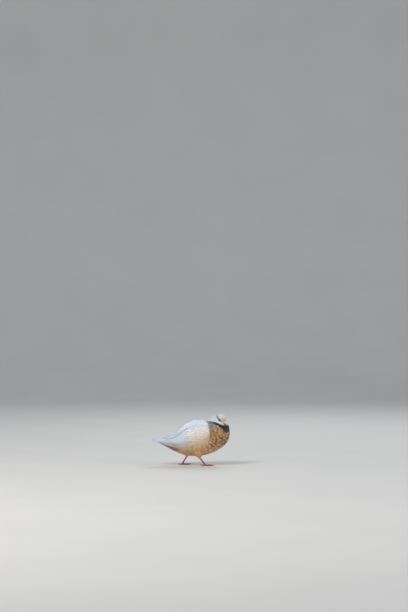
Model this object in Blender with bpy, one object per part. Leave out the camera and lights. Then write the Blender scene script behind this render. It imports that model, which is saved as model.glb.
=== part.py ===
"""A standing feral pigeon as a still, life-size model, parted into the pieces a person would name.

Metres, +Z up. The bird faces +X and its right side faces -Y. It stands on flats under its toes at
Z = 0. It is hunched and fluffed out, with its head drawn in, turned to its right and looking down.
"""

import math

import bmesh
import bpy
import numpy as np
from mathutils import Matrix, Vector
from mathutils.bvhtree import BVHTree

# ---- driving dimensions, in metres and degrees ----
GAP = 0.0003  # clearance between neighbouring nodes
LEAST_KEPT = 0.02  # a Boolean that leaves less than this share of a node has failed
SHARP_EDGE = 40.0  # edges that turn by more than this stay crisp, all others are shaded smooth
EYE_BALL = (12, 8)  # segments and rings
SMALL_BALL = (10, 6)

# Trunk and neck: matched points on the back line and on the breast line, from the head to the tail.
BACK_X = (0.089, 0.077, 0.067, 0.058, 0.051, 0.044, 0.035, 0.023, 0.009, -0.007, -0.024, -0.038,
          -0.052, -0.067, -0.083, -0.100, -0.116)
BACK_Z = (0.1755, 0.1730, 0.1675, 0.1615, 0.1592, 0.1590, 0.1592, 0.1595, 0.1585, 0.1535, 0.1430,
          0.1250, 0.1120, 0.1030, 0.0950, 0.0880, 0.0870)
BREAST_X = (0.111, 0.121, 0.1295, 0.1340, 0.1360, 0.1345, 0.1255, 0.1080, 0.0800, 0.0450, 0.0080,
            -0.0250, -0.0510, -0.0720, -0.0900, -0.1060, -0.1200)
BREAST_Z = (0.1500, 0.1460, 0.1420, 0.1350, 0.1180, 0.0975, 0.0790, 0.0620, 0.0460, 0.0350, 0.0320,
            0.0370, 0.0470, 0.0570, 0.0670, 0.0760, 0.0830)
HALF_WIDTH = (0.0110, 0.0150, 0.0205, 0.0275, 0.0350, 0.0405, 0.0440, 0.0465, 0.0475, 0.0470, 0.0450,
              0.0405, 0.0340, 0.0275, 0.0215, 0.0170, 0.0120)
WIDEST_AT = (0.50, 0.52, 0.60, 0.60, 0.56, 0.52, 0.50, 0.48, 0.48, 0.50, 0.52,
             0.50, 0.45, 0.40, 0.35, 0.30, 0.30)
BODY_SIDES = 20
BODY_RINGS = 21
NECK_CUT_BACK = (0.0520, 0.1640)  # X, Z of the line that parts neck from trunk, at the back
NECK_CUT_FRONT = (0.1440, 0.1080)  # and at the breast

# Right wing, folded: its upper edge, its bulge at mid height, and its lower edge, bend to tip.
WING_UPPER = ((0.058, -0.020, 0.1545), (0.034, -0.016, 0.1610), (0.008, -0.012, 0.1600),
              (-0.028, -0.008, 0.1420), (-0.062, -0.006, 0.1070), (-0.094, -0.005, 0.1000),
              (-0.127, -0.0045, 0.0965))
WING_BULGE = ((0.0665, -0.0460, 0.1150), (0.036, -0.0515, 0.1100), (0.006, -0.0530, 0.1060),
              (-0.028, -0.0500, 0.0990), (-0.062, -0.0370, 0.0890), (-0.094, -0.0215, 0.0920),
              (-0.127, -0.0100, 0.0945))
WING_LOWER = ((0.0590, -0.0400, 0.0740), (0.030, -0.0390, 0.0550), (0.000, -0.0380, 0.0530),
              (-0.028, -0.0375, 0.0600), (-0.062, -0.0330, 0.0670), (-0.094, -0.0260, 0.0790),
              (-0.127, -0.0150, 0.0920))
WING_THICK_MIDDLE = 0.0075
WING_THICK_EDGE = 0.0014
WING_INWARD = (0.0, 1.0, -0.15)  # the way the right wing's thickness runs, towards the body
WING_COLUMNS = 13
WING_ROWS = 6
FLIGHT_FROM = (0.66, 0.48)  # where the flight feathers leave the coverts, at the upper and lower edge
FLIGHT_HIDDEN = 0.10  # share of the wing that the flight feathers reach on under the coverts
WING_LIES_OVER = 0.0016  # how far the wing stands proud of the body
FLIGHT_SINKS = 0.0016  # the flight feathers lie this much deeper than the coverts
TIP_STEPS = 4  # stepped feather tips on the trailing edge of each wing
TIP_REACH = 0.16  # share of the flight feathers' length that the steps take up

# Tail: centre line height, half width and droop of the sides, from the rump to the tip.
TAIL_X = (-0.046, -0.080, -0.110, -0.1330)
TAIL_Z = (0.0900, 0.0925, 0.0935, 0.0930)
TAIL_HALF_WIDTH = (0.0120, 0.0185, 0.0240, 0.0275)
TAIL_DROOP = (0.0085, 0.0135, 0.0110, 0.0060)
TAIL_THICK = (0.0045, 0.0036, 0.0026, 0.0014)
TAIL_FEATHERS = 12
TAIL_ROUNDING = 0.0045  # how far the middle feathers reach past the outer ones
TAIL_NOTCH = 0.0025  # depth of the notch between two feather tips
TAIL_ROWS = 4

# Head, in its own frame: x to the bill, y to its left, z to the crown.
HEAD_CENTRE = (0.1080, -0.0050, 0.1620)
HEAD_SIZE = 1.06
HEAD_YAW = -57.0
HEAD_PITCH = 26.0
HEAD_ROLL = 7.0
HEAD_X = (-0.0172, -0.0140, -0.0085, -0.0020, 0.0045, 0.0095, 0.0135, 0.0165, 0.0180)
HEAD_Z = (0.0005, 0.0008, 0.0010, 0.0008, 0.0000, -0.0012, -0.0028, -0.0042, -0.0048)
HEAD_HALF_HEIGHT = (0.0050, 0.0100, 0.0135, 0.0150, 0.0140, 0.0115, 0.0082, 0.0056, 0.0040)
HEAD_HALF_WIDTH = (0.0050, 0.0096, 0.0124, 0.0134, 0.0126, 0.0102, 0.0070, 0.0047, 0.0034)
HEAD_RINGS = 14
HEAD_SIDES = 16
EYE_AT = (0.0040, 0.0086, 0.0012)
EYE_RADIUS = 0.0049
BILL_X = (0.0125, 0.0170, 0.0220, 0.0270, 0.0310, 0.0338, 0.0350)
BILL_TOP_Z = (-0.0010, -0.0020, -0.0034, -0.0042, -0.0048, -0.0062, -0.0080)
BILL_SPLIT_Z = (-0.0058, -0.0062, -0.0068, -0.0074, -0.0082, -0.0092, -0.0094)
BILL_UNDER_Z = (-0.0084, -0.0090, -0.0097, -0.0103, -0.0108, -0.0110, -0.0108)
BILL_HALF_WIDTH = (0.0036, 0.0034, 0.0030, 0.0025, 0.0020, 0.0014, 0.0008)
BILL_RINGS = 9
BILL_SIDES = 8
CERE_AT = (0.0192, 0.0018, -0.0021)
CERE_RADII = (0.0040, 0.0024, 0.0022)

# Legs. Each: thigh root, ankle, foot joint, and the way the middle toe points. The weight is over
# the right foot, which stands nearer the middle, and the left foot trails.
RIGHT_LEG = ((0.0180, -0.0190, 0.0600), (0.0325, -0.0200, 0.0265), (0.0490, -0.0170, 0.0052), -4.0)
LEFT_LEG = ((-0.0080, 0.0190, 0.0620), (-0.0150, 0.0245, 0.0295), (-0.0290, 0.0280, 0.0052), 4.0)
THIGH_RADII = (0.0120, 0.0170, 0.0150, 0.0090, 0.0042)
THIGH_SIDES = 14
SHANK_RADII = (0.0030, 0.0027, 0.0024, 0.0024, 0.0026, 0.0030)
SHANK_SIDES = 10
SHANK_SOCKET = 0.0040  # how far the shank reaches up into the thigh
PAD_RADII = (0.0040, 0.0034, 0.0036)
PAD_DROP = 0.0016
TOE_RADIUS = 0.0025
TOE_SWELL = 0.13  # how much a joint stands out from the toe
TOE_TAPER = 0.28  # how much thinner a toe is at its tip
TOE_TIP = 0.62
TOE_STARTS = 0.0022  # distance from the foot joint, inside the pad
TOE_CENTRE_Z = 0.0020
TOE_SIDES = 6
CLAW_OVERLAP = 0.0022  # length of claw that is set into the toe
CLAW_RADIUS = 0.00135
CLAW_HEIGHT = 0.0024
CLAW_ARCH = 0.0009
CLAW_DROP = 0.0016
CLAW_RINGS = 5
CLAW_SIDES = 5
# name, spread from the middle toe (towards the inside of the bird), length, joints, claw length
TOES = (("hallux", 176.0, 0.0130, 1, 0.0060), ("inner", 34.0, 0.0200, 2, 0.0062),
        ("middle", 0.0, 0.0280, 3, 0.0072), ("outer", -32.0, 0.0220, 4, 0.0060))

# ---- finishes: colour, roughness ----
FEATHER_WHITE = ((0.62, 0.62, 0.60), 0.75)
FEATHER_CREAM = ((0.66, 0.57, 0.48), 0.75)
FEATHER_BROWN = ((0.30, 0.19, 0.10), 0.80)
FEATHER_DARK = ((0.035, 0.045, 0.045), 0.45)
FEATHER_TAN = ((0.48, 0.27, 0.12), 0.80)
LEG_PINK = ((0.36, 0.06, 0.10), 0.50)
HORN = ((0.16, 0.09, 0.06), 0.35)
CLAW_HORN = ((0.06, 0.045, 0.04), 0.35)
CERE_WHITE = ((0.60, 0.52, 0.46), 0.60)
EYE_DARK = ((0.030, 0.012, 0.006), 0.08)


def material(name, finish):
    """A Principled material of the given colour and roughness."""
    mat = bpy.data.materials.get(name) or bpy.data.materials.new(name)
    mat.use_nodes = True
    shader = mat.node_tree.nodes["Principled BSDF"]
    colour, roughness = finish
    shader.inputs["Base Color"].default_value = (*colour, 1.0)
    shader.inputs["Roughness"].default_value = roughness
    shader.inputs["Metallic"].default_value = 0.0
    return mat


def mesh_object(name, points, faces):
    """A closed mesh whose faces point outwards."""
    mesh = bpy.data.meshes.new(name)
    mesh.from_pydata([tuple(p) for p in points], [], faces)
    bm = bmesh.new()
    bm.from_mesh(mesh)
    bmesh.ops.triangulate(bm, faces=bm.faces)
    bmesh.ops.recalc_face_normals(bm, faces=bm.faces)
    bm.to_mesh(mesh)
    bm.free()
    obj = bpy.data.objects.new(name, mesh)
    bpy.context.scene.collection.objects.link(obj)
    return obj


def spline(keys, values):
    """A smooth curve through values at keys (Catmull-Rom), as a function of an array."""
    keys = np.asarray(keys, float)
    values = np.asarray(values, float)
    slopes = np.gradient(values, keys, axis=0)

    def at(t):
        t = np.clip(np.asarray(t, float), keys[0], keys[-1])
        i = np.clip(np.searchsorted(keys, t) - 1, 0, len(keys) - 2)
        h = keys[i + 1] - keys[i]
        s = (t - keys[i]) / h
        shape = s.shape + (1,) * (values.ndim - 1)
        s, h = s.reshape(shape), h.reshape(shape)
        return ((2 * s**3 - 3 * s**2 + 1) * values[i] + (s**3 - 2 * s**2 + s) * h * slopes[i]
                + (3 * s**2 - 2 * s**3) * values[i + 1] + (s**3 - s**2) * h * slopes[i + 1])

    return at


def tube(name, rings):
    """Skin a stack of rings, shape (rings, sides, 3), and close both ends with a fan."""
    count, sides = rings.shape[:2]
    points = [*rings.reshape(-1, 3), rings[0].mean(axis=0), rings[-1].mean(axis=0)]
    start, end = count * sides, count * sides + 1
    faces = []
    for j in range(sides):
        k = (j + 1) % sides
        for i in range(count - 1):
            a, b = i * sides, (i + 1) * sides
            faces.append((a + j, a + k, b + k, b + j))
        last = (count - 1) * sides
        faces.append((start, k, j))
        faces.append((end, last + j, last + k))
    return mesh_object(name, points, faces)


def shell(name, outer, inner):
    """Close two matched grids, shape (rows, columns, 3), along all four edges."""
    rows, columns = outer.shape[:2]
    back = rows * columns
    faces = []
    for i in range(rows - 1):
        for j in range(columns - 1):
            a = i * columns + j
            quad = (a, a + 1, a + columns + 1, a + columns)
            faces.append(quad)
            faces.append(tuple(back + v for v in reversed(quad)))
    edge = [j for j in range(columns)]
    edge += [i * columns + columns - 1 for i in range(1, rows)]
    edge += [(rows - 1) * columns + j for j in range(columns - 2, -1, -1)]
    edge += [i * columns for i in range(rows - 2, 0, -1)]
    for a, b in zip(edge, edge[1:] + edge[:1]):
        faces.append((b, a, back + a, back + b))
    return mesh_object(name, [*outer.reshape(-1, 3), *inner.reshape(-1, 3)], faces)


def volume_if_closed(mesh):
    """The volume of a mesh whose every edge is shared by exactly two faces, or 0.0."""
    bm = bmesh.new()
    bm.from_mesh(mesh)
    closed = all(len(edge.link_faces) == 2 for edge in bm.edges)
    volume = bm.calc_volume(signed=True) if closed else 0.0
    bm.free()
    return volume


def largest_piece(obj):
    """Drop every loose piece but the one with the most volume."""
    bm = bmesh.new()
    bm.from_mesh(obj.data)
    bm.verts.ensure_lookup_table()
    seen, pieces = set(), []
    for seed in bm.verts:
        if seed.index in seen:
            continue
        seen.add(seed.index)
        piece, queue = [], [seed]
        while queue:
            vert = queue.pop()
            piece.append(vert)
            for edge in vert.link_edges:
                other = edge.other_vert(vert)
                if other.index not in seen:
                    seen.add(other.index)
                    queue.append(other)
        pieces.append(piece)

    def extent(piece):
        spots = np.array([v.co[:] for v in piece])
        return float(np.prod(np.ptp(spots, axis=0)))

    keep = max(pieces, key=extent)
    loose = set(bm.verts) - set(keep)
    bmesh.ops.delete(bm, geom=list(loose), context="VERTS")
    bm.to_mesh(obj.data)
    bm.free()
    return obj


def combine(obj, other, operation):
    """Apply a Boolean: the exact solver, or the manifold one where exact loses the shape."""
    least = LEAST_KEPT * volume_if_closed(obj.data)
    for solver in ("EXACT", "MANIFOLD"):
        boolean = obj.modifiers.new(operation.lower(), "BOOLEAN")
        boolean.operation = operation
        boolean.solver = solver
        boolean.object = other
        evaluated = obj.evaluated_get(bpy.context.evaluated_depsgraph_get())
        mesh = bpy.data.meshes.new_from_object(evaluated)
        obj.modifiers.clear()
        if volume_if_closed(mesh) > least:
            break
    obj.data = mesh
    return obj


def removed(obj):
    """Take a working solid out of the scene."""
    bpy.data.objects.remove(obj)


def grown(obj, by=GAP):
    """A copy whose surface stands off by a little more than the gap."""
    copy = bpy.data.objects.new(f"{obj.name}_room", obj.data.copy())
    copy.hide_render = True
    copy.display_type = "WIRE"
    bpy.context.scene.collection.objects.link(copy)
    bm = bmesh.new()
    bm.from_mesh(copy.data)
    bm.normal_update()
    for vert in bm.verts:
        vert.co += vert.normal * by * min(vert.calc_shell_factor(), 1.5)
    bm.to_mesh(copy.data)
    bm.free()
    return copy


class Rooms:
    """The space each whole shape fills, with the gap around it, kept for cutting its neighbours."""

    def __init__(self, objects):
        self.cutters = {obj.name: grown(obj) for obj in objects}

    def clear(self, obj, *names):
        """Cut the room of the named neighbours out of a node, and keep its main piece."""
        for name in names:
            combine(obj, self.cutters[name], "DIFFERENCE")
            largest_piece(obj)

    def close(self):
        """Take the cutters away."""
        for cutter in self.cutters.values():
            removed(cutter)


def block(name, centre, size, turn=None):
    """A box, turned about its centre."""
    corners = [Vector((x, y, z)) for x in (-0.5, 0.5) for y in (-0.5, 0.5) for z in (-0.5, 0.5)]
    turn = turn or Matrix.Identity(3)
    points = [Vector(centre) + turn @ Vector([c * s for c, s in zip(p, size)]) for p in corners]
    faces = [(0, 1, 3, 2), (4, 6, 7, 5), (0, 4, 5, 1), (2, 3, 7, 6), (0, 2, 6, 4), (1, 5, 7, 3)]
    return mesh_object(name, points, faces)


def ellipsoid(name, centre, radii, turn, segments, rings):
    """A ball of three radii, turned and placed."""
    polar = np.linspace(0.0, math.pi, rings + 1)[1:-1]
    round_ = np.linspace(0.0, 2 * math.pi, segments, endpoint=False)
    p, r = np.meshgrid(polar, round_, indexing="ij")
    unit = np.stack([np.cos(p), np.sin(p) * np.cos(r), np.sin(p) * np.sin(r)], axis=-1)
    poles = np.array([(1.0, 0.0, 0.0), (-1.0, 0.0, 0.0)])
    points = [Vector(centre) + turn @ Vector([c * s for c, s in zip(u, radii)])
              for u in (*unit.reshape(-1, 3), *poles)]
    faces = []
    top, bottom = len(points) - 2, len(points) - 1
    for j in range(segments):
        k = (j + 1) % segments
        for i in range(rings - 2):
            a, b = i * segments, (i + 1) * segments
            faces.append((a + j, a + k, b + k, b + j))
        last = (rings - 2) * segments
        faces.append((top, k, j))
        faces.append((bottom, last + j, last + k))
    return mesh_object(name, points, faces)


# ---- trunk and neck ----
def body_rings():
    """Egg-shaped rings, each standing between its point on the back and its point on the breast."""
    table = np.column_stack([BACK_X, BACK_Z, BREAST_X, BREAST_Z, HALF_WIDTH, WIDEST_AT])
    keys = np.arange(len(table))
    rows = spline(keys, table)(np.linspace(0, keys[-1], BODY_RINGS))
    angle = np.linspace(0.0, 2 * math.pi, BODY_SIDES, endpoint=False)
    back = np.stack([rows[:, 0], 0 * rows[:, 0], rows[:, 1]], axis=-1)[:, None]
    breast = np.stack([rows[:, 2], 0 * rows[:, 0], rows[:, 3]], axis=-1)[:, None]
    widest = rows[:, 5][:, None]
    share = np.where(np.cos(angle) > 0, widest * (1 - np.cos(angle)),
                     widest - (1 - widest) * np.cos(angle))[..., None]
    rings = back + (breast - back) * share
    rings[..., 1] += rows[:, 4][:, None] * np.sin(angle)
    return rings


def half_spaces():
    """Two big blocks, over and under the line that parts neck from trunk."""
    (x0, z0), (x1, z1) = NECK_CUT_BACK, NECK_CUT_FRONT
    tilt = math.atan2(z0 - z1, x1 - x0)
    turn = Matrix.Rotation(tilt, 3, "Y")
    middle = Vector(((x0 + x1) / 2, 0.0, (z0 + z1) / 2))
    size = 0.4
    lift = turn @ Vector((0.0, 0.0, size / 2 + GAP / 2))
    return block("over", middle + lift, (size,) * 3, turn), block("under", middle - lift, (size,) * 3, turn)


def trunk_and_neck():
    """One body, parted by a thin cut between the neck and the shoulders."""
    body = body_rings()
    neck = tube("neck", body)
    trunk = tube("trunk", body)
    over, under = half_spaces()
    combine(neck, over, "INTERSECT")
    combine(trunk, under, "INTERSECT")
    removed(over)
    removed(under)
    return trunk, neck


# ---- wings ----
def wing_surface(along, across):
    """Points of the folded right wing: along from bend to tip, across from upper to lower edge."""
    keys = np.linspace(0.0, 1.0, len(WING_UPPER))
    upper, bulge, lower = (spline(keys, edge)(along) for edge in (WING_UPPER, WING_BULGE, WING_LOWER))
    control = 2 * bulge - (upper + lower) / 2
    b = across[..., None]
    return (1 - b) ** 2 * upper + 2 * b * (1 - b) * control + b**2 * lower


def laid_on(surface, body):
    """Push points of the right wing outwards until they lie just over the body."""
    tree = BVHTree.FromPolygons([v.co for v in body.data.vertices], [p.vertices for p in body.data.polygons])
    placed = surface.copy()
    for spot in placed.reshape(-1, 3):
        hit = tree.ray_cast(Vector((spot[0], -0.2, spot[2])), Vector((0.0, 1.0, 0.0)))[0]
        if hit is not None:
            spot[1] = min(spot[1], hit.y - WING_LIES_OVER)
    return placed


def wing_piece(name, body, start, end, sinks=0.0, reach=0.0):
    """One length of the wing, thick in the middle and thin at its edges.

    start and end are shares of the wing at its upper and lower edge, sinks lets the piece lie deeper,
    and reach is the share of its length over which the feather tips step back.
    """
    longest = max(e - s for s, e in zip(start, end))
    columns = max(6, int(WING_COLUMNS * longest) + 2)
    along, b = np.meshgrid(np.linspace(0.0, 1.0, columns), np.linspace(0.0, 1.0, WING_ROWS + 1))
    step = np.floor(b * TIP_STEPS - 1e-6) / (TIP_STEPS - 1)
    along = along * (1.0 - reach * np.clip(step, 0.0, 1.0))
    first = start[0] + (start[1] - start[0]) * b
    last = end[0] + (end[1] - end[0]) * b
    a = first + (last - first) * along
    fat = np.sin(math.pi * b) * np.clip(1.25 - a, 0.12, 1.0)
    fat = fat * np.clip((a + 0.05) / 0.15, 0.35, 1.0)
    thick = WING_THICK_EDGE + (WING_THICK_MIDDLE - WING_THICK_EDGE) * fat
    inward = np.array(WING_INWARD)
    outer = laid_on(wing_surface(a, b), body) + inward * sinks
    return shell(name, outer, outer + inward * thick[..., None])


def mirrored(obj, name):
    """The same solid on the bird's other side."""
    points = [(v.co.x, -v.co.y, v.co.z) for v in obj.data.vertices]
    faces = [tuple(reversed(p.vertices)) for p in obj.data.polygons]
    return mesh_object(name, points, faces)


def wings(body):
    """Coverts and flight feathers of the right wing, then the same for the left."""
    coverts = wing_piece("wing_right", body, (0.0, 0.0), FLIGHT_FROM)
    under = [share - FLIGHT_HIDDEN for share in FLIGHT_FROM]
    flight = wing_piece("flight_feathers_right", body, under, (1.0, 1.0), FLIGHT_SINKS, TIP_REACH)
    return [coverts, flight, mirrored(coverts, "wing_left"), mirrored(flight, "flight_feathers_left")]


# ---- tail ----
def tail():
    """A fan of feathers, arched across, its end stepped feather by feather."""
    v = np.linspace(-1.0, 1.0, 2 * TAIL_FEATHERS + 1)
    edge = (np.arange(len(v)) + 1) % 2
    short = TAIL_ROUNDING * v**2 + TAIL_NOTCH * edge
    u, side = np.meshgrid(np.linspace(0.0, 1.0, TAIL_ROWS), v, indexing="ij")
    at = spline(-np.array(TAIL_X), np.column_stack([TAIL_Z, TAIL_HALF_WIDTH, TAIL_DROOP, TAIL_THICK]))
    x = TAIL_X[0] + (TAIL_X[-1] - TAIL_ROUNDING - TAIL_X[0]) * u + short * u**3
    rows_at = at(-x)
    upper = np.stack([x, side * rows_at[..., 1], rows_at[..., 0] - rows_at[..., 2] * side**2], axis=-1)
    lower = upper - np.array([0.0, 0.0, 1.0]) * (rows_at[..., 3] * (1 - 0.4 * side**2))[..., None]
    return shell("tail", upper, lower)


# ---- head ----
def head_frame():
    """The turn that carries the head's own frame into the bird's."""
    return (Matrix.Rotation(math.radians(HEAD_YAW), 3, "Z")
            @ Matrix.Rotation(math.radians(HEAD_PITCH), 3, "Y")
            @ Matrix.Rotation(math.radians(HEAD_ROLL), 3, "X"))


def placed_on_head(rings):
    """Carry rings from the head's frame into the bird's."""
    turn = np.array(head_frame()) * HEAD_SIZE
    return rings @ turn.T + np.array(HEAD_CENTRE)


def skull():
    """The feathered head, from the back of the head to the bill's root."""
    s = np.linspace(0.0, math.pi, HEAD_RINGS)
    middle = (HEAD_X[0] + HEAD_X[-1]) / 2
    x = middle - (HEAD_X[-1] - HEAD_X[0]) / 2 * np.cos(s) * 0.999
    rows = spline(HEAD_X, np.column_stack([HEAD_Z, HEAD_HALF_HEIGHT, HEAD_HALF_WIDTH]))(x)
    angle = np.linspace(0.0, 2 * math.pi, HEAD_SIDES, endpoint=False)
    rings = np.zeros((HEAD_RINGS, HEAD_SIDES, 3))
    rings[..., 0] = x[:, None]
    rings[..., 1] = rows[:, 2][:, None] * np.sin(angle)
    rings[..., 2] = rows[:, 0][:, None] + rows[:, 1][:, None] * np.cos(angle)
    return tube("head", placed_on_head(rings))


def mandible(name, top_z, under_z):
    """Half of the bill, lofted between its upper and lower lines."""
    x = np.linspace(BILL_X[0], BILL_X[-1], BILL_RINGS)
    rows = spline(BILL_X, np.column_stack([top_z, under_z, BILL_HALF_WIDTH]))(x)
    angle = np.linspace(0.0, 2 * math.pi, BILL_SIDES, endpoint=False) + math.pi / BILL_SIDES
    middle = (rows[:, 0] + rows[:, 1]) / 2
    half = (rows[:, 0] - rows[:, 1]) / 2
    rings = np.zeros((BILL_RINGS, BILL_SIDES, 3))
    rings[..., 0] = x[:, None]
    rings[..., 1] = rows[:, 2][:, None] * np.sin(angle)
    rings[..., 2] = middle[:, None] + half[:, None] * np.cos(angle)
    return tube(name, placed_on_head(rings))


def cere():
    """The two soft lobes over the bill's root, joined across the culmen."""
    turn = head_frame() * HEAD_SIZE
    lobes = []
    for side in (-1, 1):
        spot = turn @ Vector((CERE_AT[0], side * CERE_AT[1], CERE_AT[2])) + Vector(HEAD_CENTRE)
        lobes.append(ellipsoid(f"cere_{side}", spot, CERE_RADII, turn, *SMALL_BALL))
    combine(lobes[0], lobes[1], "UNION")
    removed(lobes[1])
    lobes[0].name = "cere"
    return lobes[0]


def eyes():
    """Both eyeballs, set into the sides of the head."""
    turn = head_frame() * HEAD_SIZE
    found = []
    for name, side in (("eye_left", 1), ("eye_right", -1)):
        spot = turn @ Vector((EYE_AT[0], side * EYE_AT[1], EYE_AT[2])) + Vector(HEAD_CENTRE)
        found.append(ellipsoid(name, spot, (EYE_RADIUS,) * 3, turn, *EYE_BALL))
    return found


# ---- legs ----
def limb(name, points, radii, sides):
    """A round limb along a line of points, with a radius at each."""
    points = np.asarray(points, float)
    run = np.gradient(points, axis=0)
    run /= np.linalg.norm(run, axis=1)[:, None]
    across = np.cross(run, (0.0, 1.0, 0.0))
    across /= np.linalg.norm(across, axis=1)[:, None]
    other = np.cross(run, across)
    angle = np.linspace(0.0, 2 * math.pi, sides, endpoint=False)
    radii = np.asarray(radii, float)[:, None, None]
    wheel = (across[:, None] * np.cos(angle)[None, :, None] + other[:, None] * np.sin(angle)[None, :, None])
    return tube(name, points[:, None] + wheel * radii)


def thigh(side, root, ankle):
    """The feathered part of the leg, swelling out of the belly."""
    share = np.linspace(0.0, 1.0, len(THIGH_RADII))[:, None]
    points = np.array(root) + (np.array(ankle) - np.array(root)) * share
    return limb(f"thigh_{side}", points, THIGH_RADII, THIGH_SIDES)


def shank(side, ankle, joint):
    """The bare scaly leg, from inside the thigh to the pad between the toes."""
    ankle, joint = np.array(ankle), np.array(joint)
    run = (joint - ankle) / np.linalg.norm(joint - ankle)
    share = np.linspace(0.0, 1.0, len(SHANK_RADII))[:, None]
    points = (ankle - run * SHANK_SOCKET) * (1 - share) + joint * share
    leg = limb(f"shank_{side}", points, SHANK_RADII, SHANK_SIDES)
    pad = ellipsoid("pad", joint - (0.0, 0.0, PAD_DROP), PAD_RADII, Matrix.Identity(3), *SMALL_BALL)
    combine(leg, pad, "UNION")
    removed(pad)
    return clip_to_floor(leg)


def clip_to_floor(obj):
    """Cut everything below Z = 0 away, which leaves the flats the bird stands on."""
    floor = block("floor_cut", (0.0, 0.0, -0.05), (0.5, 0.5, 0.1))
    combine(obj, floor, "DIFFERENCE")
    removed(floor)
    return obj


def toe(name, joint, heading, length, joints):
    """One toe: a tube with a swelling at each joint, its sole cut flat."""
    share = np.linspace(0.0, 1.0, 2 * joints + 1)
    swell = 1.0 + TOE_SWELL * np.cos(2 * math.pi * share * joints)
    radii = TOE_RADIUS * swell * (1.0 - TOE_TAPER * share)
    radii[-1] *= TOE_TIP
    way = np.array([math.cos(heading), math.sin(heading), 0.0])
    start = np.array([joint[0], joint[1], TOE_CENTRE_Z])
    reach = TOE_STARTS + share * (length - TOE_STARTS)
    points = start + way * reach[:, None]
    across = np.cross(way, (0.0, 0.0, 1.0))
    angle = np.linspace(0.0, 2 * math.pi, TOE_SIDES, endpoint=False) + math.pi / TOE_SIDES
    wheel = across * np.cos(angle)[:, None] + np.array([0.0, 0.0, 1.0]) * np.sin(angle)[:, None]
    digit = tube(name, points[:, None] + wheel * radii[:, None, None])
    return clip_to_floor(digit)


def claw(name, joint, heading, start, length):
    """A curved claw, its point bent down towards the ground."""
    share = np.linspace(0.0, 1.0, CLAW_RINGS)
    way = np.array([math.cos(heading), math.sin(heading), 0.0])
    up = np.array([0.0, 0.0, 1.0])
    root = np.array([joint[0], joint[1], 0.0]) + way * (start - CLAW_OVERLAP)
    height = CLAW_HEIGHT + CLAW_ARCH * np.sin(math.pi * share) - CLAW_DROP * share**2
    points = root + way * (share * length)[:, None] + up * height[:, None]
    radii = CLAW_RADIUS * (1.0 - 0.80 * share**1.3)
    across = np.cross(way, up)
    angle = np.linspace(0.0, 2 * math.pi, CLAW_SIDES, endpoint=False)
    wheel = across * np.cos(angle)[:, None] * 0.8 + up * np.sin(angle)[:, None]
    return tube(name, points[:, None] + wheel * radii[:, None, None])


def leg(side, root, ankle, joint, toe_out):
    """Thigh, shank, toes and claws of one leg."""
    pieces = [thigh(side, root, ankle), shank(side, ankle, joint)]
    inward = 1.0 if side == "right" else -1.0
    for label, spread, length, joints, claw_length in TOES:
        heading = math.radians(toe_out + inward * spread)
        pieces.append(toe(f"toe_{label}_{side}", joint, heading, length, joints))
        pieces.append(claw(f"claw_{label}_{side}", joint, heading, length, claw_length))
    return pieces


def part_leg(rooms, pieces, wing_names):
    """Cut the thigh and the toes of one leg clear of the wing, the shank, the claws and one another."""
    upper, lower = pieces[:2]
    rooms.clear(upper, lower.name, *wing_names)
    digits, nails = pieces[2::2], pieces[3::2]
    for i, (digit, nail) in enumerate(zip(digits, nails)):
        rooms.clear(digit, lower.name, nail.name, *[other.name for other in digits[:i]])


def finish(objects, look, name):
    """Give the same finish and a smooth shading to a group of nodes."""
    mat = material(name, look)
    for obj in objects:
        obj.data.materials.clear()
        obj.data.materials.append(mat)
        obj.data.shade_smooth()
        obj.data.set_sharp_from_angle(angle=math.radians(SHARP_EDGE))


def box_of(points):
    """The lowest and the highest corner of a set of points."""
    points = np.array(points)
    return points.min(axis=0), points.max(axis=0)


def assembled(objects):
    """Hang every node, each about its own middle, on one empty that centres the bird on the origin."""
    low, high = box_of([v.co for obj in objects for v in obj.data.vertices])
    bird = bpy.data.objects.new("pigeon", None)
    bird.location = (-(low[0] + high[0]) / 2, -(low[1] + high[1]) / 2, -low[2])
    bpy.context.scene.collection.objects.link(bird)
    for obj in objects:
        middle = Vector(sum(box_of([v.co for v in obj.data.vertices])) / 2)
        obj.data.transform(Matrix.Translation(-middle))
        obj.location = middle
        obj.parent = bird


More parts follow.
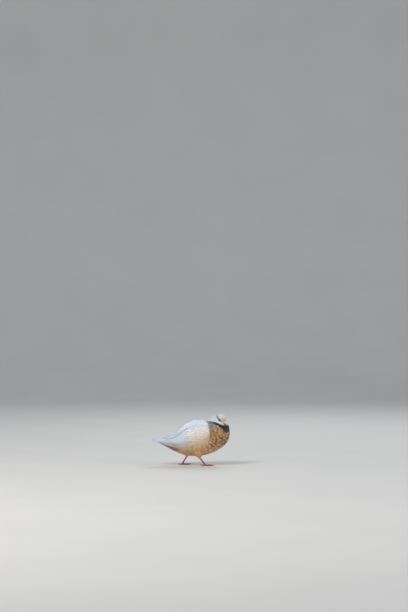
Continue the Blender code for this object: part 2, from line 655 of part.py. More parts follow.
def main():
    for obj in list(bpy.data.objects):
        bpy.data.objects.remove(obj)

    trunk, neck = trunk_and_neck()
    coverts_r, flight_r, coverts_l, flight_l = wings(trunk)
    wing_names = ["wing_right", "wing_left", "flight_feathers_right", "flight_feathers_left"]
    fan = tail()
    right_leg = leg("right", *RIGHT_LEG)
    left_leg = leg("left", *LEFT_LEG)
    head = skull()
    upper_bill = mandible("bill_upper", BILL_TOP_Z, BILL_SPLIT_Z)
    lower_bill = mandible("bill_lower", BILL_SPLIT_Z, BILL_UNDER_Z)
    soft = cere()
    eye_l, eye_r = eyes()

    rooms = Rooms([obj for obj in bpy.data.objects if obj.type == "MESH"])
    rooms.clear(lower_bill, "bill_upper")
    rooms.clear(soft, "bill_upper")
    rooms.clear(head, "eye_left", "eye_right", "cere", "bill_upper", "bill_lower")
    rooms.clear(neck, "head", "eye_left", "eye_right", "bill_upper", "bill_lower")
    rooms.clear(neck, *wing_names[:2])
    rooms.clear(fan, *wing_names)
    rooms.clear(flight_r, "wing_right")
    rooms.clear(flight_l, "wing_left")
    rooms.clear(trunk, "head", "bill_upper", "bill_lower", "tail", *wing_names)
    rooms.clear(trunk, "thigh_right", "thigh_left", "shank_right", "shank_left")
    part_leg(rooms, right_leg, wing_names[::2])
    part_leg(rooms, left_leg, wing_names[1::2])
    rooms.close()

    finish([head], FEATHER_WHITE, "head_plumage")
    finish([neck], FEATHER_DARK, "neck_plumage")
    finish([trunk], FEATHER_BROWN, "body_plumage")
    finish([coverts_r, coverts_l, flight_r, flight_l], FEATHER_CREAM, "wing_plumage")
    finish([fan], FEATHER_WHITE, "tail_plumage")
    finish([right_leg[0], left_leg[0]], FEATHER_TAN, "thigh_plumage")
    claws = [*right_leg[3::2], *left_leg[3::2]]
    finish([*right_leg[1:3], *right_leg[4::2], *left_leg[1:3], *left_leg[4::2]], LEG_PINK, "leg_skin")
    finish(claws, CLAW_HORN, "claw_horn")
    finish([upper_bill, lower_bill], HORN, "bill_horn")
    finish([soft], CERE_WHITE, "cere_skin")
    finish([eye_l, eye_r], EYE_DARK, "eye")
    assembled([obj for obj in bpy.data.objects if obj.type == "MESH"])


main()
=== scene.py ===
"""Looks of a standing feral pigeon: skin, plumage, eyes, bill, scaly legs and a plain studio.

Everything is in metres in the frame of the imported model: the bird faces +X, its right side faces -Y,
and it stands on Z = 0. The plumage grows on the same forms that the solids were lofted from.
"""

import logging
import math
from dataclasses import dataclass, field
from enum import Enum
from typing import Callable

import bpy
import numpy as np
from mathutils import Matrix, Vector
from mathutils.bvhtree import BVHTree
from mathutils.kdtree import KDTree


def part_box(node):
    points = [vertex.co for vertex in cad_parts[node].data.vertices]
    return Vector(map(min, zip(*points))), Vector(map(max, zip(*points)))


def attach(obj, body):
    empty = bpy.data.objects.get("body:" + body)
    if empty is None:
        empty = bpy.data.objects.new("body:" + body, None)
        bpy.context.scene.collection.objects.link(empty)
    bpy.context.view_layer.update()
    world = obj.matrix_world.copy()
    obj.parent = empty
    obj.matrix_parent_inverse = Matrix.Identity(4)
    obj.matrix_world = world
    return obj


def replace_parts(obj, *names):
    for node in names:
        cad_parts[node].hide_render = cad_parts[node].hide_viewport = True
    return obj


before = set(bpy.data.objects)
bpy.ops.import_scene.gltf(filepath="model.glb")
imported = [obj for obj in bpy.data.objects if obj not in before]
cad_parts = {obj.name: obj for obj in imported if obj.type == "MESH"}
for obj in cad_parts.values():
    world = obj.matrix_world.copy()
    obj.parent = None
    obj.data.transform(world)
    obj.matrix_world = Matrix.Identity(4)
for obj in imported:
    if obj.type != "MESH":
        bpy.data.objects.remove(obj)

log = logging.getLogger("pigeon")
Array = np.ndarray
Curve = Callable[[Array], Array]
Object = bpy.types.Object
Material = bpy.types.Material
NodeTree = bpy.types.NodeTree
Node = bpy.types.Node
Socket = bpy.types.NodeSocket
BODY = "root"
BAKE_PATCH = 0.003
SEED = 20
TURN = 2 * math.pi
UP = np.array([0.0, 0.0, 1.0])
MIRROR = np.array([1.0, -1.0, 1.0])


# ---- small tools ----
def spline(keys: Array, values: Array) -> Curve:
    """Make a smooth curve through values at keys.

    A cubic Hermite curve, whose slope at each key is the centred difference of its neighbours.

    Args:
        keys: rising parameters, one per value.
        values: numbers or rows of numbers.

    Returns:
        A function from an array of parameters to an array of values.
    """
    keys = np.asarray(keys, float)
    values = np.asarray(values, float)
    slopes = np.gradient(values, keys, axis=0)

    def at(t: Array) -> Array:
        """Give the curve's values at t, held at both ends."""
        t = np.clip(np.asarray(t, float), keys[0], keys[-1])
        i = np.clip(np.searchsorted(keys, t) - 1, 0, len(keys) - 2)
        h = keys[i + 1] - keys[i]
        s = (t - keys[i]) / h
        shape = s.shape + (1,) * (values.ndim - 1)
        s, h = s.reshape(shape), h.reshape(shape)
        return ((2 * s**3 - 3 * s**2 + 1) * values[i] + (s**3 - 2 * s**2 + s) * h * slopes[i]
                + (3 * s**2 - 2 * s**3) * values[i + 1] + (s**3 - s**2) * h * slopes[i + 1])

    return at


def even_spline(values: Array) -> Curve:
    """Make a smooth curve through values at even keys from 0 to 1."""
    return spline(np.linspace(0.0, 1.0, len(values)), values)


def ease(low: float, high: float, x: Array) -> Array:
    """Blend from 0 at low to 1 at high along a smooth S-curve, 3t^2 - 2t^3."""
    t = np.clip((np.asarray(x, float) - low) / (high - low), 0.0, 1.0)
    return t * t * (3.0 - 2.0 * t)


def unit(vectors: Array) -> Array:
    """Scale vectors to length one."""
    return vectors / np.maximum(np.linalg.norm(vectors, axis=-1, keepdims=True), 1e-12)


def added(name: str, data: bpy.types.ID) -> Object:
    """Put data into the scene as a new object."""
    obj = bpy.data.objects.new(name, data)
    bpy.context.scene.collection.objects.link(obj)
    return obj


def mesh_from(name: str, points: Array, triangles: Array) -> Object:
    """Put arrays of points and triangles into a new smooth object at the origin.

    Args:
        name: the piece's name.
        points: (n, 3) places in metres.
        triangles: (m, 3) point numbers, anticlockwise as seen from outside.

    Returns:
        The new object, linked to the scene.
    """
    mesh = bpy.data.meshes.new(name)
    count = len(triangles)
    mesh.vertices.add(len(points))
    mesh.vertices.foreach_set("co", np.ascontiguousarray(points, np.float32).ravel())
    mesh.loops.add(3 * count)
    mesh.loops.foreach_set("vertex_index", np.ascontiguousarray(triangles, np.int32).ravel())
    mesh.polygons.add(count)
    mesh.polygons.foreach_set("loop_start", np.arange(count, dtype=np.int32) * 3)
    mesh.polygons.foreach_set("use_smooth", np.ones(count, bool))
    mesh.update(calc_edges=True)
    mesh.validate()
    return added(name, mesh)


def around(sides: int) -> Array:
    """Spread angles evenly over a full turn, as one row."""
    return np.linspace(0.0, TURN, sides, endpoint=False)[None]


def patch(u: tuple, v: tuple, rows: int, columns: int, closed: bool = False) -> tuple[Array, Array]:
    """Spread a grid of u and v between their ends; a closed one stops short of its last v."""
    across = np.linspace(*v, columns, endpoint=not closed)
    return np.meshgrid(np.linspace(*u, rows), across, indexing="ij")


def quads(a: Array, b: Array, c: Array, d: Array) -> Array:
    """Cut quads with corners a, b on one row and c, d on the next into triangles, all of one turn."""
    return np.stack([np.stack([a, d, b], -1), np.stack([a, c, d], -1)], 2).reshape(-1, 3)


def tube_faces(rings: int, sides: int) -> Array:
    """List the triangles of a closed tube of rings, each end closed by a fan over its ring.

    Args:
        rings: number of rings.
        sides: points of a ring.

    Returns:
        An array (n, 3) of point numbers.
    """
    i, j = np.meshgrid(np.arange(rings - 1), np.arange(sides), indexing="ij")
    a, b = i * sides + j, i * sides + (j + 1) % sides
    walls = quads(a, b, a + sides, b + sides)
    k = np.arange(1, sides - 1)
    start = np.stack([0 * k, k, k + 1], -1)
    end = np.stack([0 * k, k + 1, k], -1) + (rings - 1) * sides
    return np.concatenate([walls, start, end])


def outward(points: Array, triangles: Array) -> Array:
    """Turn the triangles of a closed form round where its signed volume is negative."""
    a, b, c = (points[triangles[:, k]] for k in range(3))
    volume = np.einsum("ij,ij->i", a, np.cross(b, c)).sum()
    return triangles[:, ::-1] if volume < 0 else triangles


def tube(name: str, rings: Array) -> Object:
    """Skin a stack of rings, shape (rings, sides, 3), as one closed smooth form."""
    points = rings.reshape(-1, 3)
    return mesh_from(name, points, outward(points, tube_faces(*rings.shape[:2])))


def bulb_rings(centre: Array, radii: tuple, rings: int, sides: int) -> Array:
    """Give the rings of a ball of three radii: x = -cos p, and across it sin p (cos r, sin r).

    Args:
        centre: the ball's centre.
        radii: its three radii.
        rings: number of rings.
        sides: points of a ring.

    Returns:
        An array (rings, sides, 3).
    """
    p, r = np.linspace(0.02, math.pi - 0.02, rings)[:, None], around(sides)
    ball = np.stack([-np.cos(p) + 0 * r, np.sin(p) * np.cos(r), np.sin(p) * np.sin(r)], -1)
    return ball * radii + centre


def tree_of(spots: Array) -> KDTree:
    """Make a tree for finding the nearest of some points."""
    tree = KDTree(len(spots))
    for i, spot in enumerate(spots):
        tree.insert(spot, i)
    tree.balance()
    return tree


def joined(parts: list[Object], name: str) -> Object:
    """Join objects into one with the given name."""
    with bpy.context.temp_override(active_object=parts[0], selected_editable_objects=parts):
        bpy.ops.object.join()
    parts[0].name = name
    return parts[0]


def paint(obj: Object, name: str, values: Array) -> None:
    """Store a colour or a number for each point of an object.

    Args:
        obj: the object.
        name: the attribute's name.
        values: (n, 3) linear colours, or (n,) numbers.
    """
    mesh = obj.data
    if values.ndim == 2:
        layer = mesh.attributes.new(name, "FLOAT_COLOR", "POINT")
        full = np.concatenate([values, np.ones((len(values), 1))], axis=1)
        layer.data.foreach_set("color", full.astype(np.float32).ravel())
        return
    layer = mesh.attributes.new(name, "FLOAT", "POINT")
    layer.data.foreach_set("value", values.astype(np.float32))


def folded(points: Array) -> Array:
    """Fold points of the bird's left side over onto its right one."""
    return np.concatenate([points[..., :1], -np.abs(points[..., 1:2]), points[..., 2:]], axis=-1)


def srgb(red: float, green: float, blue: float) -> tuple[float, float, float]:
    """Turn a colour of 0 to 255 per channel into linear light."""
    scaled = np.array([red, green, blue]) / 255.0
    linear = np.where(scaled <= 0.04045, scaled / 12.92, ((scaled + 0.055) / 1.055) ** 2.4)
    return tuple(float(v) for v in linear)


# ---- the forms that the plumage grows on ----
class Form:
    """A surface of two parameters, u along the lie of the feathers and v across it.

    Attributes:
        side: 1 or -1, whichever turns the normal outwards.
        pace: step of u and v over which its slopes are taken.
    """

    side = 1.0
    pace = 2e-3

    def __init__(self, shift: Array, table: object) -> None:
        """Keep where the form stands, and the table of its sizes."""
        self.shift = shift
        self.table = table

    def at(self, u: Array, v: Array) -> Array:
        """Give the points at u and v, both between 0 and 1."""
        raise NotImplementedError

    def jet(self, u: Array, v: Array) -> tuple[Array, Array, Array, Array]:
        """Give the points, both tangents and the outward normal by centred differences.

        Args:
            u: places along the form, which may run past either end.
            v: places across it.

        Returns:
            Points, tangents along u, tangents along v, and normals.
        """
        step = self.pace
        inner = np.clip(u, step, 1.0 - step)
        along = self.slope(inner, v)
        across = (self.at(inner, v + step) - self.at(inner, v - step)) / (2 * step)
        normal = unit(np.cross(along, across)) * self.side
        return self.at(inner, v) + along * (u - inner)[..., None], along, across, normal

    def slope(self, u: Array, v: Array) -> Array:
        """Give the slope along u by a centred difference."""
        return (self.at(u + self.pace, v) - self.at(u - self.pace, v)) / (2 * self.pace)

    def beyond(self, u: Array, v: Array) -> Array:
        """Give the points, carried on in a straight line where u runs past either end."""
        inner = np.clip(u, self.pace, 1.0 - self.pace)
        return self.at(inner, v) + self.slope(inner, v) * (u - inner)[..., None]


@dataclass(frozen=True)
class BodyTable:
    """Matched points on the back line and the breast line from head to tail, with half widths."""

    back_x: tuple = (0.089, 0.077, 0.067, 0.058, 0.051, 0.044, 0.035, 0.023, 0.009, -0.007, -0.024,
                     -0.038, -0.052, -0.067, -0.083, -0.1, -0.116)
    back_z: tuple = (0.1755, 0.173, 0.1675, 0.1615, 0.1592, 0.159, 0.1592, 0.1595, 0.1585, 0.1535,
                     0.143, 0.125, 0.112, 0.103, 0.095, 0.088, 0.087)
    breast_x: tuple = (0.111, 0.121, 0.1295, 0.134, 0.136, 0.1345, 0.1255, 0.108, 0.08, 0.045,
                       0.008, -0.025, -0.051, -0.072, -0.09, -0.106, -0.12)
    breast_z: tuple = (0.15, 0.146, 0.142, 0.135, 0.118, 0.0975, 0.079, 0.062, 0.046, 0.035,
                       0.032, 0.037, 0.047, 0.057, 0.067, 0.076, 0.083)
    half_width: tuple = (0.011, 0.015, 0.0205, 0.0275, 0.035, 0.0405, 0.044, 0.0465, 0.0475,
                         0.047, 0.045, 0.0405, 0.034, 0.0275, 0.0215, 0.017, 0.012)
    widest_at: tuple = (0.5, 0.52, 0.6, 0.6, 0.56, 0.52, 0.5, 0.48, 0.48, 0.5, 0.52,
                        0.5, 0.45, 0.4, 0.35, 0.3, 0.3)


class BodyForm(Form):
    """Neck and trunk: egg-shaped rings between the back line and the breast line."""

    side = -1.0

    def __init__(self, shift: Array, table: BodyTable = BodyTable()) -> None:
        """Lay the splines through the table, moved by shift."""
        rows = np.column_stack([table.back_x, table.back_z, table.breast_x, table.breast_z,
                                table.half_width, table.widest_at])
        super().__init__(shift, table)
        self.last = len(rows) - 1
        self.rows = spline(np.arange(len(rows)), rows)

    def at(self, u: Array, v: Array) -> Array:
        """Give points: u from the head to the tail, v round from the back by the left side."""
        row = self.rows(np.asarray(u) * self.last)
        angle = TURN * np.asarray(v)
        widest = row[..., 5]
        share = np.where(np.cos(angle) > 0, widest * (1 - np.cos(angle)),
                         widest - (1 - widest) * np.cos(angle))
        x = row[..., 0] + (row[..., 2] - row[..., 0]) * share
        z = row[..., 1] + (row[..., 3] - row[..., 1]) * share
        return np.stack([x, row[..., 4] * np.sin(angle), z], -1) + self.shift

    def tree(self, rings: int = 90, sides: int = 96) -> BVHTree:
        """Make a tree of the form's triangles for looking up what lies on it."""
        spots = self.at(*patch((0, 1), (0, 1), rings, sides, closed=True))
        return BVHTree.FromPolygons(spots.reshape(-1, 3).tolist(), tube_faces(rings, sides).tolist())


@dataclass(frozen=True)
class HeadTable:
    """The head in its own frame: x to the bill, y to its left, z to the crown."""

    centre: tuple = (0.108, -0.005, 0.162)
    size: float = 1.06
    yaw: float = -57.0
    pitch: float = 26.0
    roll: float = 7.0
    x: tuple = (-0.0172, -0.014, -0.0085, -0.002, 0.0045, 0.0095, 0.0135, 0.0165, 0.018)
    z: tuple = (0.0005, 0.0008, 0.001, 0.0008, 0.0000, -0.0012, -0.0028, -0.0042, -0.0048)
    half_height: tuple = (0.005, 0.01, 0.0135, 0.015, 0.014, 0.0115, 0.0082, 0.0056, 0.004)
    half_width: tuple = (0.005, 0.0096, 0.0124, 0.0134, 0.0126, 0.0102, 0.007, 0.0047, 0.0034)
    eye_at: tuple = (0.004, 0.0086, 0.0012)
    eye_radius: float = 0.0049

    def turn(self) -> Array:
        """Give the matrix that carries the head's frame into the bird's, size and all."""
        turned = (Matrix.Rotation(math.radians(self.yaw), 3, "Z")
                  @ Matrix.Rotation(math.radians(self.pitch), 3, "Y")
                  @ Matrix.Rotation(math.radians(self.roll), 3, "X"))
        return np.array(turned) * self.size

    def placed(self, points: Array, shift: Array) -> Array:
        """Carry points from the head's frame into the bird's."""
        return points @ self.turn().T + np.array(self.centre) + shift

    def eye(self, side: float) -> Array:
        """Give the centre of the right eye for -1 and of the left eye for 1, before any shift."""
        own = np.array([self.eye_at[0], side * self.eye_at[1], self.eye_at[2]])
        return self.placed(own, np.zeros(3))

    def own(self, points: Array, shift: Array) -> Array:
        """Carry points of the bird back into the head's own frame."""
        return (points - np.array(self.centre) - shift) @ np.linalg.inv(self.turn()).T


class HeadForm(Form):
    """The head without its bill: u from the bill to the nape, v round from the crown."""

    side = -1.0

    def __init__(self, shift: Array, table: HeadTable = HeadTable()) -> None:
        """Lay the splines through the table, moved by shift."""
        super().__init__(shift, table)
        self.rows = spline(table.x, np.column_stack([table.z, table.half_height, table.half_width]))

    def at(self, u: Array, v: Array) -> Array:
        """Give points: x = middle + half cos(pi u), and an oval ring round it."""
        keys = self.table.x
        x = (keys[0] + keys[-1]) / 2 + (keys[-1] - keys[0]) / 2 * 0.999 * np.cos(math.pi * np.asarray(u))
        row = self.rows(x)
        angle = TURN * np.asarray(v)
        height = row[..., 0] + row[..., 1] * np.cos(angle)
        own = np.stack([x + 0 * angle, row[..., 2] * np.sin(angle), height], -1)
        return self.table.placed(own, self.shift)


class NapeForm(Form):
    """The round end of the head behind its last ring: u downwards, v from right to left.

    Attributes:
        reach: how far the dome goes, as a share of the ring.
        dome: how far it stands out, in metres.
    """

    side = -1.0
    reach = 1.25
    dome = 0.0014

    def at(self, u: Array, v: Array) -> Array:
        """Give points of a shallow dome, 1 - r^2 high, over the head's last ring."""
        table = self.table
        down, across = 1.0 - 2.0 * np.asarray(u, float), 2.0 * np.asarray(v, float) - 1.0
        out = self.dome * (1.0 - (down**2 + across**2) * self.reach**2)
        own = np.stack([table.x[0] - out, across * self.reach * table.half_width[0],
                        table.z[0] + down * self.reach * table.half_height[0]], -1)
        return table.placed(own, self.shift)


@dataclass(frozen=True)
class WingTable:
    """The folded right wing: its upper edge, its bulge and its lower edge, from bend to tip."""

    upper: tuple = ((0.058, -0.02, 0.1545), (0.034, -0.016, 0.161), (0.008, -0.012, 0.16),
                    (-0.028, -0.008, 0.142), (-0.062, -0.006, 0.107), (-0.094, -0.005, 0.1),
                    (-0.127, -0.0045, 0.0965))
    bulge: tuple = ((0.0665, -0.046, 0.115), (0.036, -0.0515, 0.11), (0.006, -0.053, 0.106),
                    (-0.028, -0.05, 0.099), (-0.062, -0.037, 0.089), (-0.094, -0.0215, 0.092),
                    (-0.127, -0.01, 0.0945))
    lower: tuple = ((0.059, -0.04, 0.074), (0.03, -0.039, 0.055), (0.000, -0.038, 0.053),
                    (-0.028, -0.0375, 0.06), (-0.062, -0.033, 0.067), (-0.094, -0.026, 0.079),
                    (-0.127, -0.015, 0.092))
    lies_over: float = 0.0016
    outside: float = -0.2
    columns: int = 97
    rows: int = 49


class WingForm(Form):
    """The folded right wing: u from the bend to the tip, v from the upper to the lower edge."""

    side = 1.0

    def __init__(self, shift: Array, body: BodyForm, table: WingTable = WingTable()) -> None:
        """Lay a fine grid of the wing on the body and keep it for looking up.

        Each section is a parabola from the upper edge through the bulge to the lower edge. Points that
        would sink into the body are pushed out until they lie just over it.
        """
        super().__init__(shift, table)
        a, b = patch((0, 1), (0, 1), table.columns, table.rows)
        upper, bulge, lower = (even_spline(edge)(a) for edge in (table.upper, table.bulge, table.lower))
        control = 2 * bulge - (upper + lower) / 2
        w = b[..., None]
        grid = (1 - w) ** 2 * upper + 2 * w * (1 - w) * control + w**2 * lower + shift
        tree, inward = body.tree(), Vector((0.0, 1.0, 0.0))
        flat = grid.reshape(-1, 3)
        hits = [tree.ray_cast(Vector((p[0], table.outside, p[2])), inward)[0] for p in flat]
        lay = np.array([hit.y if hit is not None else 1.0 for hit in hits])
        flat[:, 1] = np.minimum(flat[:, 1], lay - table.lies_over)
        self.grid = flat.reshape(grid.shape)

    def at(self, u: Array, v: Array) -> Array:
        """Look the grid up between its points.

        Past its front, rear and lower edges it goes on straight, past the upper one level to the middle.
        """
        columns, rows = self.grid.shape[:2]
        x = np.asarray(u, float) * (columns - 1)
        y = np.maximum(np.asarray(v, float), 0.0) * (rows - 1)
        i = np.clip(np.floor(x).astype(int), 0, columns - 2)
        j = np.clip(np.floor(y).astype(int), 0, rows - 2)
        s, t = (x - i)[..., None], (y - j)[..., None]
        g = self.grid
        spot = ((1 - s) * (1 - t) * g[i, j] + s * (1 - t) * g[i + 1, j]
                + (1 - s) * t * g[i, j + 1] + s * t * g[i + 1, j + 1])
        pace = np.linalg.norm(g[i, 1] - g[i, 0], axis=-1) * (rows - 1)
        spot[..., 1] += np.maximum(-np.asarray(v, float), 0.0) * pace
        return spot


@dataclass(frozen=True)
class TailTable:
    """The tail fan: height, half width and droop of the sides, from the rump to the tip."""

    x: tuple = (-0.046, -0.08, -0.11, -0.133)
    z: tuple = (0.09, 0.0925, 0.0935, 0.093)
    half_width: tuple = (0.012, 0.0185, 0.024, 0.0275)
    droop: tuple = (0.0085, 0.0135, 0.011, 0.006)
    rounding: float = 0.0045


class TailForm(Form):
    """The tail fan: u from the rump to the tip, v from the right edge to the left one."""

    side = -1.0

    def __init__(self, shift: Array, table: TailTable = TailTable()) -> None:
        """Lay the splines through the table, moved by shift."""
        super().__init__(shift, table)
        self.rows = spline(-np.array(table.x), np.column_stack([table.z, table.half_width, table.droop]))

    def at(self, u: Array, v: Array) -> Array:
        """Give points of an arched fan: height falls with the square of the distance from its middle."""
        u, v = np.asarray(u, float), np.asarray(v, float)
        tail = self.table
        x = tail.x[0] + (tail.x[-1] - tail.rounding - tail.x[0]) * u
        row = self.rows(-x)
        side = 2.0 * v - 1.0
        height = row[..., 0] - row[..., 2] * side**2
        return np.stack([x + 0 * side, side * row[..., 1], height], -1) + self.shift


class LimbForm(Form):
    """A round limb: u along its straight middle line, v round it."""

    side = -1.0

    def __init__(self, start: Array, end: Array, radii: tuple[float, ...]) -> None:
        """Keep the middle line and lay a spline through the radii."""
        super().__init__(start, radii)
        self.run = end - start
        self.radius = even_spline(radii)
        self.across = unit(np.cross(unit(self.run), (0.0, 1.0, 0.0)))
        self.other = np.cross(unit(self.run), self.across)

    def at(self, u: Array, v: Array) -> Array:
        """Give points on circles about the middle line."""
        u, v = np.broadcast_arrays(np.asarray(u, float), np.asarray(v, float))
        angle = TURN * v[..., None]
        spoke = self.across * np.cos(angle) + self.other * np.sin(angle)
        return self.shift + self.run * u[..., None] + spoke * self.radius(u)[..., None]


# ---- colours, markings and painted light and shade ----
@dataclass(frozen=True)
class Palette:
    """The colours of the plumage, some of them painted light and shade, in linear light."""

    # painted skylight: white feathers drawn cool and bluish where they face up
    skylit_white: tuple = srgb(216, 224, 233)
    white: tuple = srgb(232, 229, 223)
    cream: tuple = srgb(224, 209, 190)
    # peach, also used as painted warm light from below on the head and the wing's lower edge
    peach: tuple = srgb(220, 186, 148)
    face: tuple = srgb(226, 200, 176)
    breast: tuple = srgb(172, 124, 74)
    breast_dark: tuple = srgb(88, 56, 30)
    breast_light: tuple = srgb(214, 180, 140)
    breast_grey: tuple = srgb(146, 140, 126)
    tan: tuple = srgb(222, 166, 108)
    # vent, also used as painted shade on the tail's sides and underside
    vent: tuple = srgb(140, 113, 86)
    lavender: tuple = srgb(209, 207, 222)
    mint: tuple = srgb(212, 223, 216)
    green_grey: tuple = srgb(104, 120, 112)
    violet: tuple = srgb(70, 70, 98)
    black_green: tuple = srgb(11, 13, 13)
    # teal, partly the collar's own green gloss and partly a painted highlight of skylight
    teal_highlight: tuple = srgb(50, 76, 80)
    # painted shade along the crease at the wing's front edge
    slate_shade: tuple = srgb(82, 88, 94)
    # painted shade for the crease between head and neck
    crease_shade: tuple = srgb(66, 58, 56)


def mix(a: Array, b: Array, share: Array) -> Array:
    """Blend colour a into colour b by a share for each point."""
    share = np.asarray(share, float)[..., None]
    return np.asarray(a) * (1.0 - share) + np.asarray(b) * share


def layered(colour: Array, *layers: tuple[Array, Array]) -> Array:
    """Lay colours over one another, each by its share.

    Args:
        colour: the lowest colour.
        layers: (colour, share) of each one over it.

    Returns:
        The colour of each point.
    """
    for over, share in layers:
        colour = mix(colour, over, share)
    return colour


def near_line(x: Array, z: Array, line: tuple, width: float) -> Array:
    """Give 1 on a broken line in side view, falling as a bell exp(-(d/width)^2) with distance d.

    Args:
        x: places along the bird.
        z: heights.
        line: the line's corners (x, z).
        width: distance at which the bell is 1/e high.

    Returns:
        A number for each place.
    """
    best = np.full(np.shape(x), np.inf)
    for (x0, z0), (x1, z1) in zip(line[:-1], line[1:]):
        run = np.array([x1 - x0, z1 - z0])
        share = np.clip(((x - x0) * run[0] + (z - z0) * run[1]) / (run @ run), 0.0, 1.0)
        best = np.minimum(best, np.hypot(x - x0 - share * run[0], z - z0 - share * run[1]))
    return np.exp(-((best / width) ** 2))


class Tract(Enum):
    """Parts of the plumage that differ in colour."""

    TRUNK = "trunk"
    HEAD = "head"
    WING = "wing"
    TAIL = "tail"
    THIGH = "thigh"


@dataclass(frozen=True)
class Markings:
    """The markings in side view, with painted skylight, painted warm light from below and painted shade among
    them, the same for the skin and the coat. Lengths are in millimetres.

    Attributes:
        tone_own: how much a feather's tone is its own.
        tone_wave: how much it follows the pattern through space.
        tone_light: how much a tone of one lightens a feather.
        tone_warm: how much of the light or dark breast colour a tone of one brings.
        warm_most: the most of it.
        warm_elsewhere: how much of that is left beyond neck and trunk.
        green_tint: what a greenish feather of the collar is multiplied by.
        violet_tint: what a purplish one is multiplied by.
    """

    palette: Palette = Palette()
    collar_x: tuple = (56.0, 66.0, 84.0, 98.0, 110.0, 124.0, 138.0)
    collar_z: tuple = (154.0, 151.0, 149.0, 143.5, 134.0, 129.5, 129.0)
    collar_half: tuple = (1.0, 4.5, 4.0, 4.5, 8.0, 14.0, 15.0)
    # the line of painted shade along the wing's front edge
    wing_front: tuple = ((56.0, 158.0), (61.0, 134.0), (66.0, 113.0))
    flank: tuple = ((22.0, 48.0), (46.0, 64.0), (68.0, 88.0))
    bars: tuple = ((-2.0, 84.0), (38.0, 104.0))
    # the line of painted shade in the crease between head and neck
    crease_shade: tuple = ((91.0, 174.0), (94.0, 168.0), (98.0, 160.0), (106.0, 153.5))
    tone_own: float = 0.26
    tone_wave: float = 1.05
    tone_light: float = 0.25
    tone_warm: float = 1.2
    warm_most: float = 0.8
    warm_elsewhere: float = 0.45
    green_tint: tuple = (0.8, 1.06, 1.0)
    violet_tint: tuple = (1.12, 0.9, 1.14)

    def band(self, x: Array) -> tuple[Array, Array]:
        """Give the height of the dark collar's middle at x, and half its height."""
        return np.interp(x, self.collar_x, self.collar_z), np.interp(x, self.collar_x, self.collar_half)

    def collar(self, x: Array, y: Array, z: Array) -> Array:
        """Give the share of dark collar at points; its lower edge wavers round the breast.

        Args:
            x: places along the bird, in millimetres.
            y: places across it.
            z: heights.

        Returns:
            A number from 0 to 1 for each point.
        """
        line, half = self.band(x)
        waver = 0.16 * np.sin(y * 0.33 + 1.0) + 0.1 * np.sin(x * 0.6 + y * 0.9)
        off = np.abs(z - line) / half + waver * (z < line)
        return (1.0 - ease(0.7, 1.2, off)) * ease(53.0, 60.0, x)

    def trunk(self, x: Array, y: Array, z: Array) -> Array:
        """Colour neck and trunk: tan belly, golden brown breast, dark collar with a painted highlight of
        skylight on its top, white back and nape with painted skylight on back and rump, and painted shade in
        the creases at the wing's front and between head and neck.
        """
        p = self.palette
        line, half = self.band(x)
        nape = mix(mix(p.lavender, p.mint, ease(74.0, 86.0, x)), p.white, ease(86.0, 97.0, x))
        dark = layered(
            mix(p.green_grey, p.violet, ease(74.0, 82.0, x)),
            (p.black_green, ease(86.0, 96.0, x)),
            # on the collar's top edge: its own teal gloss with a painted highlight of skylight
            (p.teal_highlight, ease(112.0, 122.0, x) * ease(137.0, 143.0, z)))
        return layered(
            p.tan,
            (p.vent, 1.0 - ease(-70.0, -25.0, x)),
            (p.breast, ease(36.0, 74.0, x) * ease(50.0, 80.0, z)),
            (p.breast_grey, ease(112.0, 136.0, z) * (1.0 - ease(94.0, 116.0, x))),
            (p.peach, 0.85 * near_line(x, z, self.flank, 8.0)),
            # painted skylight on the top of the back and, below, on the rump
            (p.skylit_white, ease(126.0, 140.0, z) * (1.0 - ease(46.0, 60.0, x))),
            (p.skylit_white, (1.0 - ease(-34.0, -18.0, x)) * ease(84.0, 93.0, z)),
            # painted shade along the wing's front edge
            (p.slate_shade, 0.75 * near_line(x, z, self.wing_front, 3.0)),
            (nape, ease(0.0, 3.0, z - line - 0.6 * half) * ease(48.0, 58.0, x)),
            # painted shade in the crease between head and neck
            (p.crease_shade, 0.8 * near_line(x, z, self.crease_shade, 2.2)),
            (dark, self.collar(x, y, z)))

    def head(self, x: Array, y: Array, z: Array) -> Array:
        """Colour the head: white, peach and cream low down as painted warm light from below, with a warm face
        by the bill, painted skylight on the crown, and painted shade along the crease between head and neck.
        """
        p = self.palette
        return layered(
            # painted warm light from below: peach and cream low on the white head
            p.peach,
            (p.cream, ease(143.0, 152.0, z)),
            (p.white, ease(152.0, 163.0, z)),
            # painted skylight on the crown
            (p.skylit_white, ease(166.0, 176.0, z)),
            (p.face, 0.9 * ease(101.0, 110.0, x) * (1.0 - ease(160.0, 171.0, z))),
            # painted shade in the crease between head and neck
            (p.crease_shade, 0.85 * near_line(x, z, self.crease_shade, 2.0)))

    def wing(self, x: Array, y: Array, z: Array) -> Array:
        """Colour the wing: cream and white with warm bars and a warm front; painted skylight makes it cool
        white on top, painted warm light from below makes it peach and tan at its lower edge, and painted
        shade darkens its front edge.
        """
        p = self.palette
        rear = mix(p.cream, p.skylit_white, ease(62.0, 84.0, z))
        bars = ease(0.2, 0.9, np.sin(0.62 * z - 0.12 * x)) * near_line(x, z, self.bars, 17.0)
        return layered(
            # painted warm light from below: tan and peach at the wing's lower edge
            p.tan,
            (p.peach, ease(55.0, 64.0, z - 0.1 * x)),
            (p.cream, ease(62.0, 92.0, z - 0.22 * x)),
            (p.white, ease(84.0, 116.0, z - 0.1 * x)),
            # painted skylight on top of the wing
            (p.skylit_white, ease(108.0, 142.0, z - 0.25 * x)),
            (rear, 1.0 - ease(-56.0, 16.0, x)),
            (p.breast_light, 0.85 * (ease(34.0, 66.0, x) * (1.0 - ease(88.0, 132.0, z)))),
            (p.breast_light, 0.42 * bars),
            # painted shade along the wing's front edge
            (p.slate_shade, 0.6 * near_line(x, z, self.wing_front, 3.0)))

